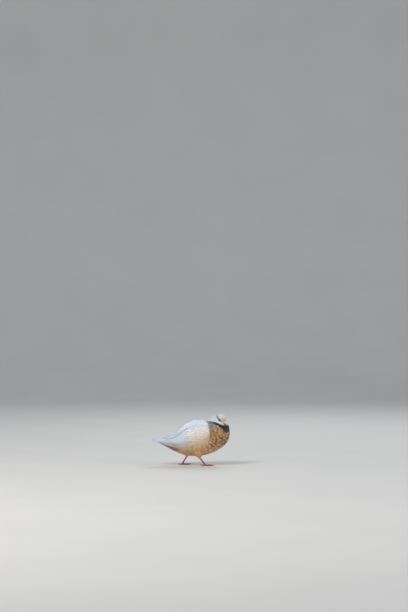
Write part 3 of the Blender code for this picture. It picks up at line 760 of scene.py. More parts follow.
    def tail(self, x: Array, y: Array, z: Array) -> Array:
        """Colour the tail: white, with painted skylight making it cool above, and painted shade with warm
        bounce light making it brownish at the sides and below.
        """
        p = self.palette
        # painted shade, brownish, at the sides and below; painted skylight above
        return mix(mix(p.vent, p.cream, 0.25), p.skylit_white, ease(81.0, 88.0, z))

    def thigh(self, x: Array, y: Array, z: Array) -> Array:
        """Colour the thighs tan."""
        return mix(self.palette.tan, self.palette.peach, ease(30.0, 60.0, z))

    def colour(self, points: Array, tract: Tract) -> Array:
        """Give the linear colour of points of one tract."""
        x, y, z = np.moveaxis(points * 1000.0, -1, 0)
        return getattr(self, tract.value)(x, y, z)

    def wave(self, x: Array, y: Array, z: Array) -> Array:
        """Give the tone's pattern through space, in metres: a product of two warped sine waves."""
        return np.sin(x * 430.0 + 2.2 * np.sin(z * 270.0)) * np.sin(z * 360.0 + y * 260.0 + np.sin(x * 180.0))

    def mottle(self, points: Array) -> Array:
        """Say how much single feathers differ: a lot on the breast, little where they are white."""
        x, y, z = np.moveaxis(points * 1000.0, -1, 0)
        breast = ease(56.0, 80.0, x) * ease(44.0, 60.0, z) * (1.0 - ease(142.0, 150.0, z))
        belly = 0.25 * (1.0 - ease(60.0, 90.0, z))
        belly = belly + 0.15 * ease(20.0, 60.0, x) * (1.0 - ease(90.0, 120.0, z))
        return np.clip(0.06 + 0.5 * breast + belly, 0.0, 0.7) * (1.0 - 0.85 * self.collar(x, y, z))


class Slot(Enum):
    """The record's material slots."""

    BODY = "body_plumage"
    NECK = "neck_plumage"
    HEAD = "head_plumage"
    WING = "wing_plumage"
    TAIL = "tail_plumage"
    THIGH = "thigh_plumage"
    BILL = "bill_horn"
    CERE = "cere_skin"
    EYE = "eye"
    LEG = "leg_skin"
    CLAW = "claw_horn"


def finished(obj: Object, material: Material, slot: Slot, *nodes: str) -> Object:
    """Give a piece its finish, and let it ride on the body.

    Args:
        obj: the piece.
        material: its finish.
        slot: its slot; not used.
        nodes: the nodes of the record that it replaces, if any.

    Returns:
        The piece.
    """
    obj.data.materials.clear()
    obj.data.materials.append(material)
    if nodes:
        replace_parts(obj, *nodes)
    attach(obj, BODY)
    return obj


# ---- shader tools ----
class Shade:
    """A short hand for wiring shader nodes in a material or a group."""

    def __init__(self, tree: NodeTree) -> None:
        """Work on one node tree."""
        self.tree = tree

    def node(self, kind: str, **values: object) -> Node:
        """Add a node and set its properties, or its inputs where the name is one."""
        made = self.tree.nodes.new(kind)
        for name, value in values.items():
            socket = made.inputs.get(name.replace("_", " "))
            if socket is not None and not hasattr(made, name):
                socket.default_value = value
            else:
                setattr(made, name, value)
        return made

    def wire(self, source: object, target: Socket) -> None:
        """Link a socket to an input, or set the input to a number or a colour.

        Args:
            source: a socket, a number, or a colour of three.
            target: the input.
        """
        if isinstance(source, Socket):
            self.tree.links.new(source, target)
        else:
            target.default_value = (*source, 1.0) if isinstance(source, tuple) else source

    def math(self, operation: str, *values: object) -> Socket:
        """Add a Math node.

        Args:
            operation: what it does.
            values: its inputs, sockets or numbers.

        Returns:
            The result.
        """
        made = self.node("ShaderNodeMath", operation=operation)
        for socket, value in zip(made.inputs, values):
            self.wire(value, socket)
        return made.outputs[0]

    def step(self, value: Socket, low: float, high: float, out: tuple = (0.0, 1.0)) -> Socket:
        """Map a value along a smooth step.

        Args:
            value: the value.
            low: value that gives the first output.
            high: value that gives the second one.
            out: both outputs.

        Returns:
            The result.
        """
        made = self.node("ShaderNodeMapRange", interpolation_type="SMOOTHSTEP", From_Min=low, From_Max=high,
                         To_Min=out[0], To_Max=out[1])
        self.wire(value, made.inputs["Value"])
        return made.outputs["Result"]

    def blend(self, share: object, a: object, b: object, mode: str = "MIX") -> Socket:
        """Mix two colours.

        Args:
            share: how much of the second, a socket or a number.
            a: the first, a socket or a colour.
            b: the second.
            mode: how they are blended.

        Returns:
            The result.
        """
        made = self.node("ShaderNodeMix", data_type="RGBA", blend_type=mode)
        for number, value in ((0, share), (6, a), (7, b)):
            self.wire(value, made.inputs[number])
        return made.outputs[2]

    def gain(self, colour: Socket, share: Socket) -> Socket:
        """Multiply a colour by one number, and give the output."""
        grey = self.node("ShaderNodeCombineXYZ")
        for axis in "XYZ":
            self.wire(share, grey.inputs[axis])
        return self.blend(1.0, colour, grey.outputs["Vector"], "MULTIPLY")

    def noise(self, scale: Socket | float, detail: float = 2.0) -> Socket:
        """Give noise in object coordinates."""
        made = self.node("ShaderNodeTexNoise", Detail=detail)
        self.wire(scale, made.inputs["Scale"])
        self.wire(self.node("ShaderNodeTexCoord").outputs["Object"], made.inputs["Vector"])
        return made.outputs["Fac"]

    def attribute(self, name: str, output: str = "Fac") -> Socket:
        """Read a number, or with output Color a colour, that the mesh stores."""
        return self.node("ShaderNodeAttribute", attribute_name=name).outputs[output]

    def bump(self, height: Socket, strength: float, distance: float) -> Socket:
        """Turn a height into a normal.

        Args:
            height: the height.
            strength: the bump's strength.
            distance: the height of 1, in metres.

        Returns:
            The normal.
        """
        made = self.node("ShaderNodeBump", Strength=strength, Distance=distance)
        self.wire(height, made.inputs["Height"])
        return made.outputs["Normal"]


def group(name: str, inputs: tuple, outputs: tuple) -> tuple[Shade, Node, Node]:
    """Start a shader node group.

    Args:
        name: the group's name.
        inputs: (name, socket type, value) of each input.
        outputs: (name, socket type) of each output.

    Returns:
        The group's wiring tool, and its input and output nodes.
    """
    tree = bpy.data.node_groups.new(name, "ShaderNodeTree")
    for label, kind, value in inputs:
        tree.interface.new_socket(label, in_out="INPUT", socket_type=kind).default_value = value
    for label, kind in outputs:
        tree.interface.new_socket(label, in_out="OUTPUT", socket_type=kind)
    shade = Shade(tree)
    return shade, shade.node("NodeGroupInput"), shade.node("NodeGroupOutput")


def put(node: Node, **values: object) -> None:
    """Set inputs of a node; an underscore in a name stands for a space."""
    for name, value in values.items():
        node.inputs[name.replace("_", " ")].default_value = value


def started(name: str) -> tuple[Material, Shade, Node]:
    """Start a material, and give it with its wiring tool and its shader."""
    mat = bpy.data.materials.new(name)
    mat.use_nodes = True
    return mat, Shade(mat.node_tree), mat.node_tree.nodes["Principled BSDF"]


def barb_group() -> NodeTree:
    """Build the effect of a feather's barbs and shaft over its own UV map, vane.

    Barbs are a slanted sine wave either side of the shaft; the rim is paler, and the root is shaded.
    """
    shade, given, result = group(
        "feather_barbs",
        (("Colour", "NodeSocketColor", (1.0, 1.0, 1.0, 1.0)), ("Barbs", "NodeSocketFloat", 26.0),
         ("Rim", "NodeSocketFloat", 1.08), ("Shaft", "NodeSocketFloat", 1.12)),
        (("Colour", "NodeSocketColor"), ("Height", "NodeSocketFloat")))
    vane = shade.node("ShaderNodeUVMap", uv_map="vane")
    parts = shade.node("ShaderNodeSeparateXYZ")
    shade.wire(vane.outputs["UV"], parts.inputs["Vector"])
    across = shade.math("ABSOLUTE", shade.math("MULTIPLY_ADD", parts.outputs["X"], 2.0, -1.0))
    slant = shade.math("MULTIPLY_ADD", across, -0.45, parts.outputs["Y"])
    turns = shade.math("MULTIPLY", slant, given.outputs["Barbs"])
    wave = shade.math("SINE", shade.math("MULTIPLY", turns, TURN))
    fine = shade.noise(900.0, 1.0)
    rough = shade.math("MULTIPLY_ADD", fine, 0.8, shade.math("MULTIPLY", wave, 0.35))
    shaft = shade.step(across, 0.03, 0.1, (1.0, 0.0))
    rim = shade.math("MAXIMUM", shade.step(across, 0.72, 1.0), shade.step(parts.outputs["Y"], 0.82, 1.0))
    gain = shade.math("MULTIPLY_ADD", rim, shade.math("SUBTRACT", given.outputs["Rim"], 1.0), 1.0)
    gain = shade.math("MULTIPLY_ADD", shaft, shade.math("SUBTRACT", given.outputs["Shaft"], 1.0), gain)
    gain = shade.math("MULTIPLY", gain, shade.step(parts.outputs["Y"], 0.0, 0.45, (0.72, 1.0)))
    gain = shade.math("MULTIPLY", gain, shade.math("MULTIPLY_ADD", rough, 0.1, 0.97))
    shade.wire(shade.gain(given.outputs["Colour"], gain), result.inputs["Colour"])
    shade.wire(shade.math("MULTIPLY_ADD", shaft, 0.8, rough), result.inputs["Height"])
    return shade.tree


def grain_group() -> NodeTree:
    """Build soft patches over a colour in object coordinates, for skin, horn and scales."""
    shade, given, result = group(
        "soft_grain",
        (("Colour", "NodeSocketColor", (1.0, 1.0, 1.0, 1.0)), ("Scale", "NodeSocketFloat", 300.0),
         ("Depth", "NodeSocketFloat", 0.3)),
        (("Colour", "NodeSocketColor"), ("Height", "NodeSocketFloat")))
    cloud = shade.noise(given.outputs["Scale"], 4.0)
    swing = shade.math("MULTIPLY_ADD", shade.math("SUBTRACT", cloud, 0.5), given.outputs["Depth"], 1.0)
    shade.wire(shade.gain(given.outputs["Colour"], swing), result.inputs["Colour"])
    shade.wire(cloud, result.inputs["Height"])
    return shade.tree


@dataclass(frozen=True)
class PlumageFinish:
    """Feathers: colour and tone come from the mesh, barbs and shaft from the vane map."""

    name: str
    barbs: float = 26.0
    rim: float = 1.08
    shaft: float = 1.12
    bump: float = 0.25
    roughness: float = 0.66
    glossy_roughness: float = 0.34
    glossy_metal: float = 0.35

    def build(self, groups: dict[str, NodeTree]) -> Material:
        """Make the material."""
        mat, shade, shader = started(self.name)
        barbs = shade.node("ShaderNodeGroup", node_tree=groups["barbs"])
        put(barbs, Barbs=self.barbs, Rim=self.rim, Shaft=self.shaft)
        shade.wire(shade.attribute("plumage", "Color"), barbs.inputs["Colour"])
        shade.wire(barbs.outputs["Colour"], shader.inputs["Base Color"])
        gloss = shade.attribute("gloss")
        matt = shade.step(gloss, 0.0, 1.0, (self.roughness, self.glossy_roughness))
        shade.wire(matt, shader.inputs["Roughness"])
        shade.wire(shade.step(gloss, 0.0, 1.0, (0.0, self.glossy_metal)), shader.inputs["Metallic"])
        shade.wire(shade.bump(barbs.outputs["Height"], self.bump, 0.0003), shader.inputs["Normal"])
        put(shader, Sheen_Weight=0.25, Sheen_Roughness=0.5, Specular_IOR_Level=0.3)
        return mat


@dataclass(frozen=True)
class SoftFinish:
    """Skin, horn or scales: a colour, or the mesh's own colours, with soft patches and a fine bump."""

    name: str
    colour: tuple | None
    scale: float
    depth: float
    roughness: float
    bump: float = 0.3
    coat: float = 0.0
    ridge_colour: tuple | None = None

    def build(self, groups: dict[str, NodeTree]) -> Material:
        """Make the material."""
        mat, shade, shader = started(self.name)
        grain = shade.node("ShaderNodeGroup", node_tree=groups["grain"])
        put(grain, Scale=self.scale, Depth=self.depth)
        colour = self.colour
        if colour is None:
            colour = shade.attribute("plumage", "Color")
        elif self.ridge_colour is not None:
            colour = shade.blend(shade.attribute("ridge"), colour, self.ridge_colour)
        shade.wire(colour, grain.inputs["Colour"])
        shade.wire(grain.outputs["Colour"], shader.inputs["Base Color"])
        swing = shade.step(grain.outputs["Height"], 0.3, 0.7, (self.roughness - 0.06, self.roughness + 0.08))
        shade.wire(swing, shader.inputs["Roughness"])
        shade.wire(shade.bump(grain.outputs["Height"], self.bump, 0.0002), shader.inputs["Normal"])
        put(shader, Coat_Weight=self.coat, Coat_Roughness=0.08)
        return mat


@dataclass(frozen=True)
class EyeFinish:
    """A wet dark eye: black pupil, brown iris and a rim darkened as painted shade from the lid, by the angle
    from the eye's axis.
    """

    name: str = "eye_wet"
    # the last two stops darken the rim as painted shade from the lid
    stops: tuple = ((0.0, srgb(4, 3, 3)), (0.3, srgb(5, 4, 4)), (0.335, srgb(62, 28, 14)),
                    (0.48, srgb(84, 42, 20)), (0.6, srgb(44, 22, 14)), (0.68, srgb(18, 13, 12)))

    def build(self, groups: dict[str, NodeTree]) -> Material:
        """Make the material."""
        mat, shade, shader = started(self.name)
        ramp = shade.node("ShaderNodeValToRGB")
        marks = ramp.color_ramp.elements
        marks.remove(marks[1])
        marks[0].color = (*self.stops[0][1], 1.0)
        for place, colour in self.stops[1:]:
            marks.new(place).color = (*colour, 1.0)
        stray = shade.math("SUBTRACT", shade.noise(1500.0), 0.5)
        streaks = shade.math("MULTIPLY_ADD", stray, 0.05, shade.attribute("ring"))
        shade.wire(streaks, ramp.inputs["Fac"])
        shade.wire(ramp.outputs["Color"], shader.inputs["Base Color"])
        put(shader, Roughness=0.08, Coat_Weight=1.0, Coat_Roughness=0.02)
        return mat


# ---- feathers ----
@dataclass(frozen=True)
class VaneCut:
    """The cut of one kind of feather.

    Attributes:
        rows: cross rows from root to tip.
        columns: points across its upper side.
        widest: share of its length at which it is widest.
        stem: half width at the root, as a share of the widest.
        tip: how blunt the tip is; 2 is an ellipse, more is blunter.
        camber: rise of the middle over the rims, as a share of the half width.
        thick: thickness at the middle, in metres.
        roll: how much one rim stands over the other, as a share of the half width.
        flare: exponent of the rise from root to tip.
        unruly: how much the roll differs from feather to feather.
        crowd: how closely the rows stand towards the tip; 1 is even.
    """

    rows: int = 6
    columns: int = 5
    widest: float = 0.62
    stem: float = 0.35
    tip: float = 2.2
    camber: float = 0.16
    thick: float = 0.00022
    roll: float = 0.05
    flare: float = 1.0
    unruly: float = 0.02
    crowd: float = 1.9

    def steps(self) -> Array:
        """Give the rows' shares of the length, closer towards the tip."""
        return 1.0 - (1.0 - np.linspace(0.0, 1.0, self.rows)) ** self.crowd

    def half_width(self, t: Array) -> Array:
        """Give the half width at t: a quarter sine up to the widest, then a rounded tip."""
        rise = self.stem + (1.0 - self.stem) * np.sin(np.clip(t / self.widest, 0.0, 1.0) * math.pi / 2)
        over = np.clip((t - self.widest) / (1.0 - self.widest), 0.0, 1.0)
        fall = (1.0 - over**self.tip) ** (1.0 / self.tip)
        return np.maximum(rise * fall, 0.03)


def tangent_step(move: Array, along: Array, across: Array) -> tuple[Array, Array]:
    """Turn a move in the tangent plane into steps of u and v, by solving the two-by-two metric.

    Args:
        move: the moves.
        along: tangents along u.
        across: tangents along v.

    Returns:
        The steps of u and v.
    """
    e = np.einsum("...i,...i", along, along)
    f = np.einsum("...i,...i", along, across)
    g = np.einsum("...i,...i", across, across)
    a = np.einsum("...i,...i", move, along)
    b = np.einsum("...i,...i", move, across)
    det = np.maximum(e * g - f * f, 1e-3 * e * g + 1e-12)
    return np.clip((g * a - f * b) / det, -0.2, 0.2), np.clip((e * b - f * a) / det, -0.2, 0.2)


@dataclass
class Coat:
    """A joined mesh of feathers grown on one form.

    Attributes:
        name: the piece's name.
        form: the form that they grow on.
        tract: which markings they carry.
        slot: the material slot that they stand for.
        number: the coat's place in the order of random streams.
        markings: the bird's markings.
        heaps: arrays of the feathers grown so far, by name.
        count: number of points so far.
    """

    name: str
    form: Form
    tract: Tract
    slot: Slot
    number: int
    markings: Markings = Markings()
    heaps: dict[str, list] = field(default_factory=dict)
    count: int = 0

    def __post_init__(self) -> None:
        """Start the coat's own stream of random numbers."""
        self.rng = np.random.default_rng(SEED + self.number)

    def keep(self, **arrays: Array) -> None:
        """Add arrays to the heaps of their names."""
        for name, values in arrays.items():
            self.heaps.setdefault(name, []).append(values)

    def scatter(self, u: tuple, v: tuple, spacing: Curve, tries: int = 40000) -> tuple[Array, Array]:
        """Spread roots evenly over a patch of the form.

        Random places are drawn evenly by area; each one kept clears its neighbours within its spacing.

        Args:
            u: lowest and highest u.
            v: lowest and highest v.
            spacing: distance between roots, from their u.
            tries: number of places drawn.

        Returns:
            The u and v of the roots.
        """
        us = self.rng.uniform(*u, tries)
        vs = self.rng.uniform(*v, tries)
        spots, along, across, _ = self.form.jet(us, vs)
        area = np.linalg.norm(np.cross(along, across), axis=-1)
        kept = self.rng.uniform(size=tries) < area / area.max()
        us, vs, spots = us[kept], vs[kept], spots[kept]
        near = spacing(us)
        tree = tree_of(spots)
        alive = np.ones(len(us), bool)
        for i in range(len(us)):
            if alive[i]:
                close = [j for _, j, _ in tree.find_range(spots[i], near[i]) if j > i]
                alive[close] = False
        return us[alive], vs[alive]

    def grow(self, u: Array, v: Array, length: Array, half: Array, low: Array, high: Array,
             cut: VaneCut = VaneCut(), stray: float = 0.0, heading: Array | float = 0.0) -> None:
        """Grow feathers from roots, each following the form along its heading.

        Args:
            u: the roots' u.
            v: the roots' v.
            length: lengths in metres.
            half: half widths in metres.
            low: height of the root over the form, in metres.
            high: height of the tip over the form, in metres.
            cut: their cut.
            stray: how much their angles differ, in radians.
            heading: angle from the form's own lie, in radians.
        """
        n = len(u)
        t = cut.steps()
        if stray:
            heading = heading + self.rng.normal(0.0, stray, n)
        length, heading = np.broadcast_to(length, n), np.broadcast_to(heading, n)
        us, vs = np.empty((n, cut.rows)), np.empty((n, cut.rows))
        us[:, 0], vs[:, 0] = u, v
        for k in range(cut.rows - 1):
            _, along, across, normal = self.form.jet(us[:, k], vs[:, k])
            ahead = unit(along)
            way = np.cos(heading)[:, None] * ahead + np.sin(heading)[:, None] * np.cross(normal, ahead)
            du, dv = tangent_step(way * (length * (t[k + 1] - t[k]))[:, None], along, across)
            us[:, k + 1], vs[:, k + 1] = us[:, k] + du, vs[:, k] + dv
        self.lay(us, vs, half, low, high, cut)

    def lay(self, us: Array, vs: Array, half: Array, low: Array, high: Array, cut: VaneCut) -> None:
        """Lay vanes along paths of u and v, shape (feathers, rows).

        A point lies at the path's point, moved across by s times the half width, and lifted along the
        normal by a height that rises from root to tip, plus a camber of 1 - s^2 and a roll of s.

        Args:
            us: u of each row's middle.
            vs: v of each row's middle.
            half: half widths in metres.
            low: height of the root over the form.
            high: height of the tip over the form.
            cut: the cut.
        """
        n, rows = us.shape
        t = cut.steps()
        spot, along, across, normal = self.form.jet(us, vs)
        way = unit(np.gradient(spot, axis=1))
        sidewise = unit(np.cross(normal, way))
        s = np.concatenate([np.linspace(-1.0, 1.0, cut.columns), [0.0]])
        width = np.broadcast_to(half, n)[:, None] * cut.half_width(t)
        du, dv = tangent_step(sidewise * width[..., None], along, across)
        surface = self.form.beyond(us[..., None] + du[..., None] * s, vs[..., None] + dv[..., None] * s)
        low, high = np.broadcast_to(low, n)[:, None], np.broadcast_to(high, n)[:, None]
        rise = low + (high - low) * t**cut.flare
        turn = cut.roll + self.rng.normal(0.0, cut.unruly, n)[:, None]
        lift = rise[..., None] + width[..., None] * (cut.camber * (1.0 - s**2) + turn[..., None] * s)
        lift[..., -1] -= cut.thick
        points = (surface + normal[:, :, None] * lift[..., None]).reshape(n, -1, 3)
        each = rows * len(s)
        faces = outward(points[0], tube_faces(rows, len(s)))
        first = self.count + np.arange(n) * each
        self.keep(points=points.reshape(-1, 3), triangles=(faces[None] + first[:, None, None]).reshape(-1, 3))
        self.count += n * each
        self.dress(points, t, s, us[:, 0], vs[:, 0])

    def dress(self, points: Array, t: Array, s: Array, u: Array, v: Array) -> None:
        """Colour each feather as its visible half is marked, with its own tone, and map it.

        Positive tones lean to the light breast colour and negative ones to the dark one. In the collar
        a feather leans to green or to purple instead.

        Args:
            points: (feathers, points, 3) places.
            t: the rows' shares of the length.
            s: the places across a row, -1 to 1.
            u: the roots' u.
            v: the roots' v.
        """
        n, each = points.shape[:2]
        sides = len(s)
        seen = points.reshape(n, len(t), sides, 3)[:, int(len(t) * 0.7), sides // 2]
        own = self.rng.normal(0.0, 1.0, n)
        x, y, z = np.moveaxis(seen, -1, 0)
        marks, share = self.markings, self.markings.mottle(seen)
        tone = share * np.clip(marks.tone_own * own + marks.tone_wave * marks.wave(x, y, z), -1.4, 1.4)
        palette = marks.palette
        gain = 1.0 + marks.tone_light * np.clip(tone, -0.6, 0.6)
        colour = marks.colour(seen, self.tract) * gain[:, None]
        warm = np.clip(np.abs(tone) * marks.tone_warm, 0.0, marks.warm_most) * (share > 0.08)
        aim = np.where((tone > 0)[:, None], palette.breast_light, palette.breast_dark)
        colour = mix(colour, aim, warm * (1.0 if self.tract is Tract.TRUNK else marks.warm_elsewhere))
        collar = marks.collar(x * 1000.0, y * 1000.0, z * 1000.0)
        dark = collar if self.tract is Tract.TRUNK else np.zeros(n)
        tint = mix(np.ones(3), marks.green_tint, np.clip(own, 0.0, 1.0) * dark)
        tint = mix(tint, marks.violet_tint, np.clip(-own, 0.0, 1.0) * dark * 0.7)
        self.keep(plumage=np.repeat(colour * tint, each, axis=0), gloss=np.repeat(dark, each))
        ss, tt = np.tile(s, len(t)), np.repeat(t, sides)
        root = np.stack([np.clip(u, 0.01, 0.99), np.mod(v, 1.0) * 0.98 + 0.01], -1)
        spread = np.stack([ss * 0.5, tt - 0.5], -1) * BAKE_PATCH
        self.keep(OFBake=(root[:, None] + spread[None]).reshape(-1, 2),
                  vane=np.tile(np.stack([ss * 0.5 + 0.5, tt], -1), (n, 1)))

    def build(self, material: Material, mirrored_as: str = "") -> Object:
        """Join the feathers into one mesh.

        Args:
            material: their finish.
            mirrored_as: where given, build the same coat on the bird's other side, under this name.

        Returns:
            The piece.
        """
        made = {name: np.concatenate(heap) for name, heap in self.heaps.items()}
        points, triangles = made["points"], made["triangles"]
        if mirrored_as:
            points = points * MIRROR
            triangles = triangles[:, ::-1]
        obj = mesh_from(mirrored_as or self.name, points, triangles)
        for name in ("plumage", "gloss"):
            paint(obj, name, made[name])
        for name in ("OFBake", "vane"):
            corners = made[name][triangles.ravel()].astype(np.float32)
            obj.data.uv_layers.new(name=name).data.foreach_set("uv", corners.ravel())
        log.info("%s: %d triangles", obj.name, len(triangles))
        return finished(obj, material, self.slot)


# ---- the skin ----
@dataclass
class Skin:
    """One skin under the plumage of head, neck, trunk, wings, rump and thighs.

    Its sizes are in metres: how deep it lies under the plumage, and how finely it is made.
    """

    forms: "Forms"
    neck: float = 0.0022
    belly: float = 0.0042
    head: float = 0.0011
    thigh: float = 0.0022
    wing: float = 0.0013
    wing_sinks: float = 0.0024
    wing_inside: float = 0.0085
    wing_reach: float = 0.6
    voxel: float = 0.0017
    smoothing: int = 4

    def depth(self, u: Array) -> Array:
        """Give the body's coat depth: shallow at the neck, deeper to the belly."""
        return self.neck + (self.belly - self.neck) * ease(0.1, 0.45, u)

    def inset(self, form: Form, depth: Curve, rings: int, sides: int, name: str) -> Object:
        """Draw a round form in along its normals: point minus normal times depth.

        Args:
            form: the form.
            depth: how deep, from u.
            rings: number of rings.
            sides: points of a ring.
            name: the new object's name.

        Returns:
            The object.
        """
        u, v = patch((0, 1), (0, 1), rings, sides, closed=True)
        spot, _, _, normal = form.jet(u, v)
        return tube(name, spot - normal * depth(u)[..., None])

    def wing_slab(self, mirror: bool) -> Object:
        """Make the arm of the wing: a slab under its surface, thick enough to sink into the body."""
        u, v = patch((0.01, self.wing_reach), (0.03, 0.97), 60, 40)
        spot, _, _, normal = self.forms.wing.jet(u, v)
        outer = spot - normal * (self.wing + self.wing_sinks * ease(0.2, 0.45, u))[..., None]
        inner = spot - normal * self.wing_inside
        rings = np.concatenate([outer, inner[:, ::-1]], axis=1)
        if mirror:
            rings = rings * MIRROR
        return tube("wing_arm", rings)

    def rump(self) -> Object:
        """Make the root of the tail: a slab under the first part of the fan."""
        u, v = patch((0.0, 0.55), (0.06, 0.94), 30, 24)
        upper = self.forms.tail.at(u, v) - np.array([0.0, 0.0, 0.0014])
        lower = upper - UP * (0.004 * (1.0 - u))[..., None]
        return tube("rump", np.concatenate([upper, lower[:, ::-1]], axis=1))

    def build(self, material: Material) -> Object:
        """Fuse all forms into one closed skin, smooth it, and give it the bird's markings."""
        forms = self.forms
        parts = [self.inset(forms.body, self.depth, 110, 96, "skin"),
                 self.inset(forms.head, lambda u: self.head + 0 * u, 48, 48, "skull"),
                 self.wing_slab(False), self.wing_slab(True), self.rump()]
        for side, thigh in forms.thighs.items():
            parts.append(self.inset(thigh, lambda u: self.thigh * (1.0 - 0.6 * u), 24, 28, f"thigh_{side}"))
        skin = joined(parts, "skin")
        remesh = skin.modifiers.new("fuse", "REMESH")
        remesh.mode = "VOXEL"
        remesh.voxel_size = self.voxel
        relax = skin.modifiers.new("relax", "SMOOTH")
        relax.iterations = self.smoothing
        relax.factor = 0.5
        graph = bpy.context.evaluated_depsgraph_get()
        mesh = bpy.data.meshes.new_from_object(skin.evaluated_get(graph))
        skin.modifiers.clear()
        skin.data = mesh
        mesh.shade_smooth()
        flat = np.empty(3 * len(mesh.vertices), np.float32)
        mesh.vertices.foreach_get("co", flat)
        paint(skin, "plumage", self.colours(flat.reshape(-1, 3).astype(float)))
        log.info("skin: %d faces", len(mesh.polygons))
        return finished(skin, material, Slot.BODY)

    def colours(self, points: Array) -> Array:
        """Colour the skin as the coat over it: by trunk, head and wing."""
        marks, forms = self.forms.markings, self.forms
        colour = marks.colour(points, Tract.TRUNK)
        own = forms.head.table.own(points, forms.shift)
        on_head = 1.0 - ease(0.015, 0.0175, np.linalg.norm(own, axis=-1))
        colour = mix(colour, marks.colour(points, Tract.HEAD), on_head * ease(0.15, 0.154, points[:, 2]))
        return mix(colour, marks.colour(points, Tract.WING), forms.under_wing(points, 0.009)) * 0.82


class Forms:
    """All the forms of the bird, and tests of what lies under what.

    Attributes:
        core: a place in the middle of the trunk, in metres.
    """

    core = (0.02, 0.0, 0.1)

    def __init__(self) -> None:
        """Lay every form out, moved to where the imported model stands."""
        low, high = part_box("eye_right")
        self.shift = (np.array(low) + np.array(high)) / 2 - HeadTable().eye(-1.0)
        self.markings = Markings()
        self.body = BodyForm(self.shift)
        self.head = HeadForm(self.shift)
        self.nape = NapeForm(self.shift, self.head.table)
        self.wing = WingForm(self.shift, self.body)
        self.tail = TailForm(self.shift)
        left = LegTable(root=(-0.008, 0.019, 0.062), ankle=(-0.015, 0.0245, 0.0295),
                        joint=(-0.029, 0.028, 0.0052), toe_out=4.0, inward=-1.0)
        self.legs = {"right": LegTable(), "left": left}
        self.thighs = {side: LimbForm(leg.root + self.shift, leg.ankle + self.shift, leg.thigh)
                       for side, leg in self.legs.items()}
        self.wing_tree = tree_of(self.wing.grid.reshape(-1, 3))
        self.body_tree = self.body.tree()

    def eye(self, side: float) -> Array:
        """Give the centre of the right eye for -1 and of the left eye for 1."""
        return self.head.table.eye(side) + self.shift

    def under_wing(self, points: Array, reach: float = 0.014) -> Array:
        """Give 1.0 where a folded wing of either side lies over a point, well inside the wing's rim.

        Args:
            points: (n, 3) places.
            reach: how far under the wing a point may lie, in metres.

        Returns:
            1.0 or 0.0 for each point.
        """
        columns, rows = self.wing.grid.shape[:2]
        found = [self.wing_tree.find(spot) for spot in folded(points)]
        index = np.array([hit[1] for hit in found])
        away = np.array([hit[2] for hit in found])
        i, j = index // rows, index % rows
        inside = (i > 2) & (i < columns - 6) & (j > 1) & (j < rows - 2)
        return (inside & (away < reach)).astype(float)

    def in_body(self, points: Array, depth: float) -> Array:
        """Say which points lie deeper than depth inside neck or trunk.

        Args:
            points: (n, 3) places.
            depth: how deep, in metres.

        Returns:
            True or False for each point.
        """
        found = [self.body_tree.find_nearest(spot) for spot in points]
        core = Vector(self.core)
        inward = [(Vector(p) - hit[0]).dot((hit[0] - core).normalized())
                  for p, hit in zip(points, found)]
        return np.array(inward) < -depth

    def in_head(self, points: Array, share: float = 0.92) -> Array:
        """Say which points lie inside the head, by the oval that its rings have at their x.

        Args:
            points: (n, 3) places.
            share: how much of the oval counts.

        Returns:
            True or False for each point.
        """
        own = self.head.table.own(points, self.shift)
        row = self.head.rows(own[:, 0])
        oval = (own[:, 1] / row[:, 2]) ** 2 + ((own[:, 2] - row[:, 0]) / row[:, 1]) ** 2
        keys = self.head.table.x
        return (oval < share**2) & (own[:, 0] > keys[0]) & (own[:, 0] < keys[-1])


@dataclass(frozen=True)
class Toe:
    """One toe: its name, its turn from the middle toe inwards, its length, joints and claw's length."""

    name: str
    spread: float
    length: float
    joints: int
    claw: float


@dataclass(frozen=True)
class LegTable:
    """One leg: thigh root, ankle, foot joint, the middle toe's heading, and which way is inwards."""

    root: tuple = (0.018, -0.019, 0.06)
    ankle: tuple = (0.0325, -0.02, 0.0265)
    joint: tuple = (0.049, -0.017, 0.0052)
    toe_out: float = -4.0
    inward: float = 1.0
    thigh: tuple = (0.012, 0.017, 0.015, 0.009, 0.0042)
    shank: tuple = (0.003, 0.0027, 0.0024, 0.0024, 0.0026, 0.003)
    toes: tuple = (Toe("hallux", 176.0, 0.013, 1, 0.006), Toe("inner", 34.0, 0.02, 2, 0.0062),
                   Toe("middle", 0.0, 0.028, 3, 0.0072), Toe("outer", -32.0, 0.022, 4, 0.006))


# ---- the coat, tract by tract ----
@dataclass(frozen=True)
class Sheaf:
    """A stack of long feathers whose roots and tips run evenly between two places.

    Attributes:
        root_u: u of the first and last root.
        root_v: v of the first and last root.
        tip_u: u of the first and last tip.
        tip_v: v of the first and last tip.
        count: how many there are.
        half: half width in metres.
        low: height of the roots over the wing, in metres.
        high: height of the tips, in metres.
        cut: their cut.
        bow: how far their middles bow to the lower edge, in v.
        pile: how much lower the last one lies than the first, in metres.
    """

    root_u: tuple
    root_v: tuple
    tip_u: tuple
    tip_v: tuple
    count: int
    half: float
    low: float
    high: float
    cut: VaneCut
    bow: float = 0.012
    pile: float = 0.0006

    def lay(self, coat: Coat) -> None:
        """Lay the stack in a coat: straight paths from root to tip, bowed by a half sine."""
        t = self.cut.steps()
        pairs = (self.root_u, self.root_v, self.tip_u, self.tip_v)
        ends = [np.linspace(*pair, self.count)[:, None] for pair in pairs]
        us = ends[0] * (1 - t) + ends[2] * t
        vs = ends[1] * (1 - t) + ends[3] * t + self.bow * np.sin(math.pi * t)
        order = np.linspace(0.0, 1.0, self.count) * self.pile
        coat.lay(us, vs, self.half, self.low - order, self.high - order, self.cut)


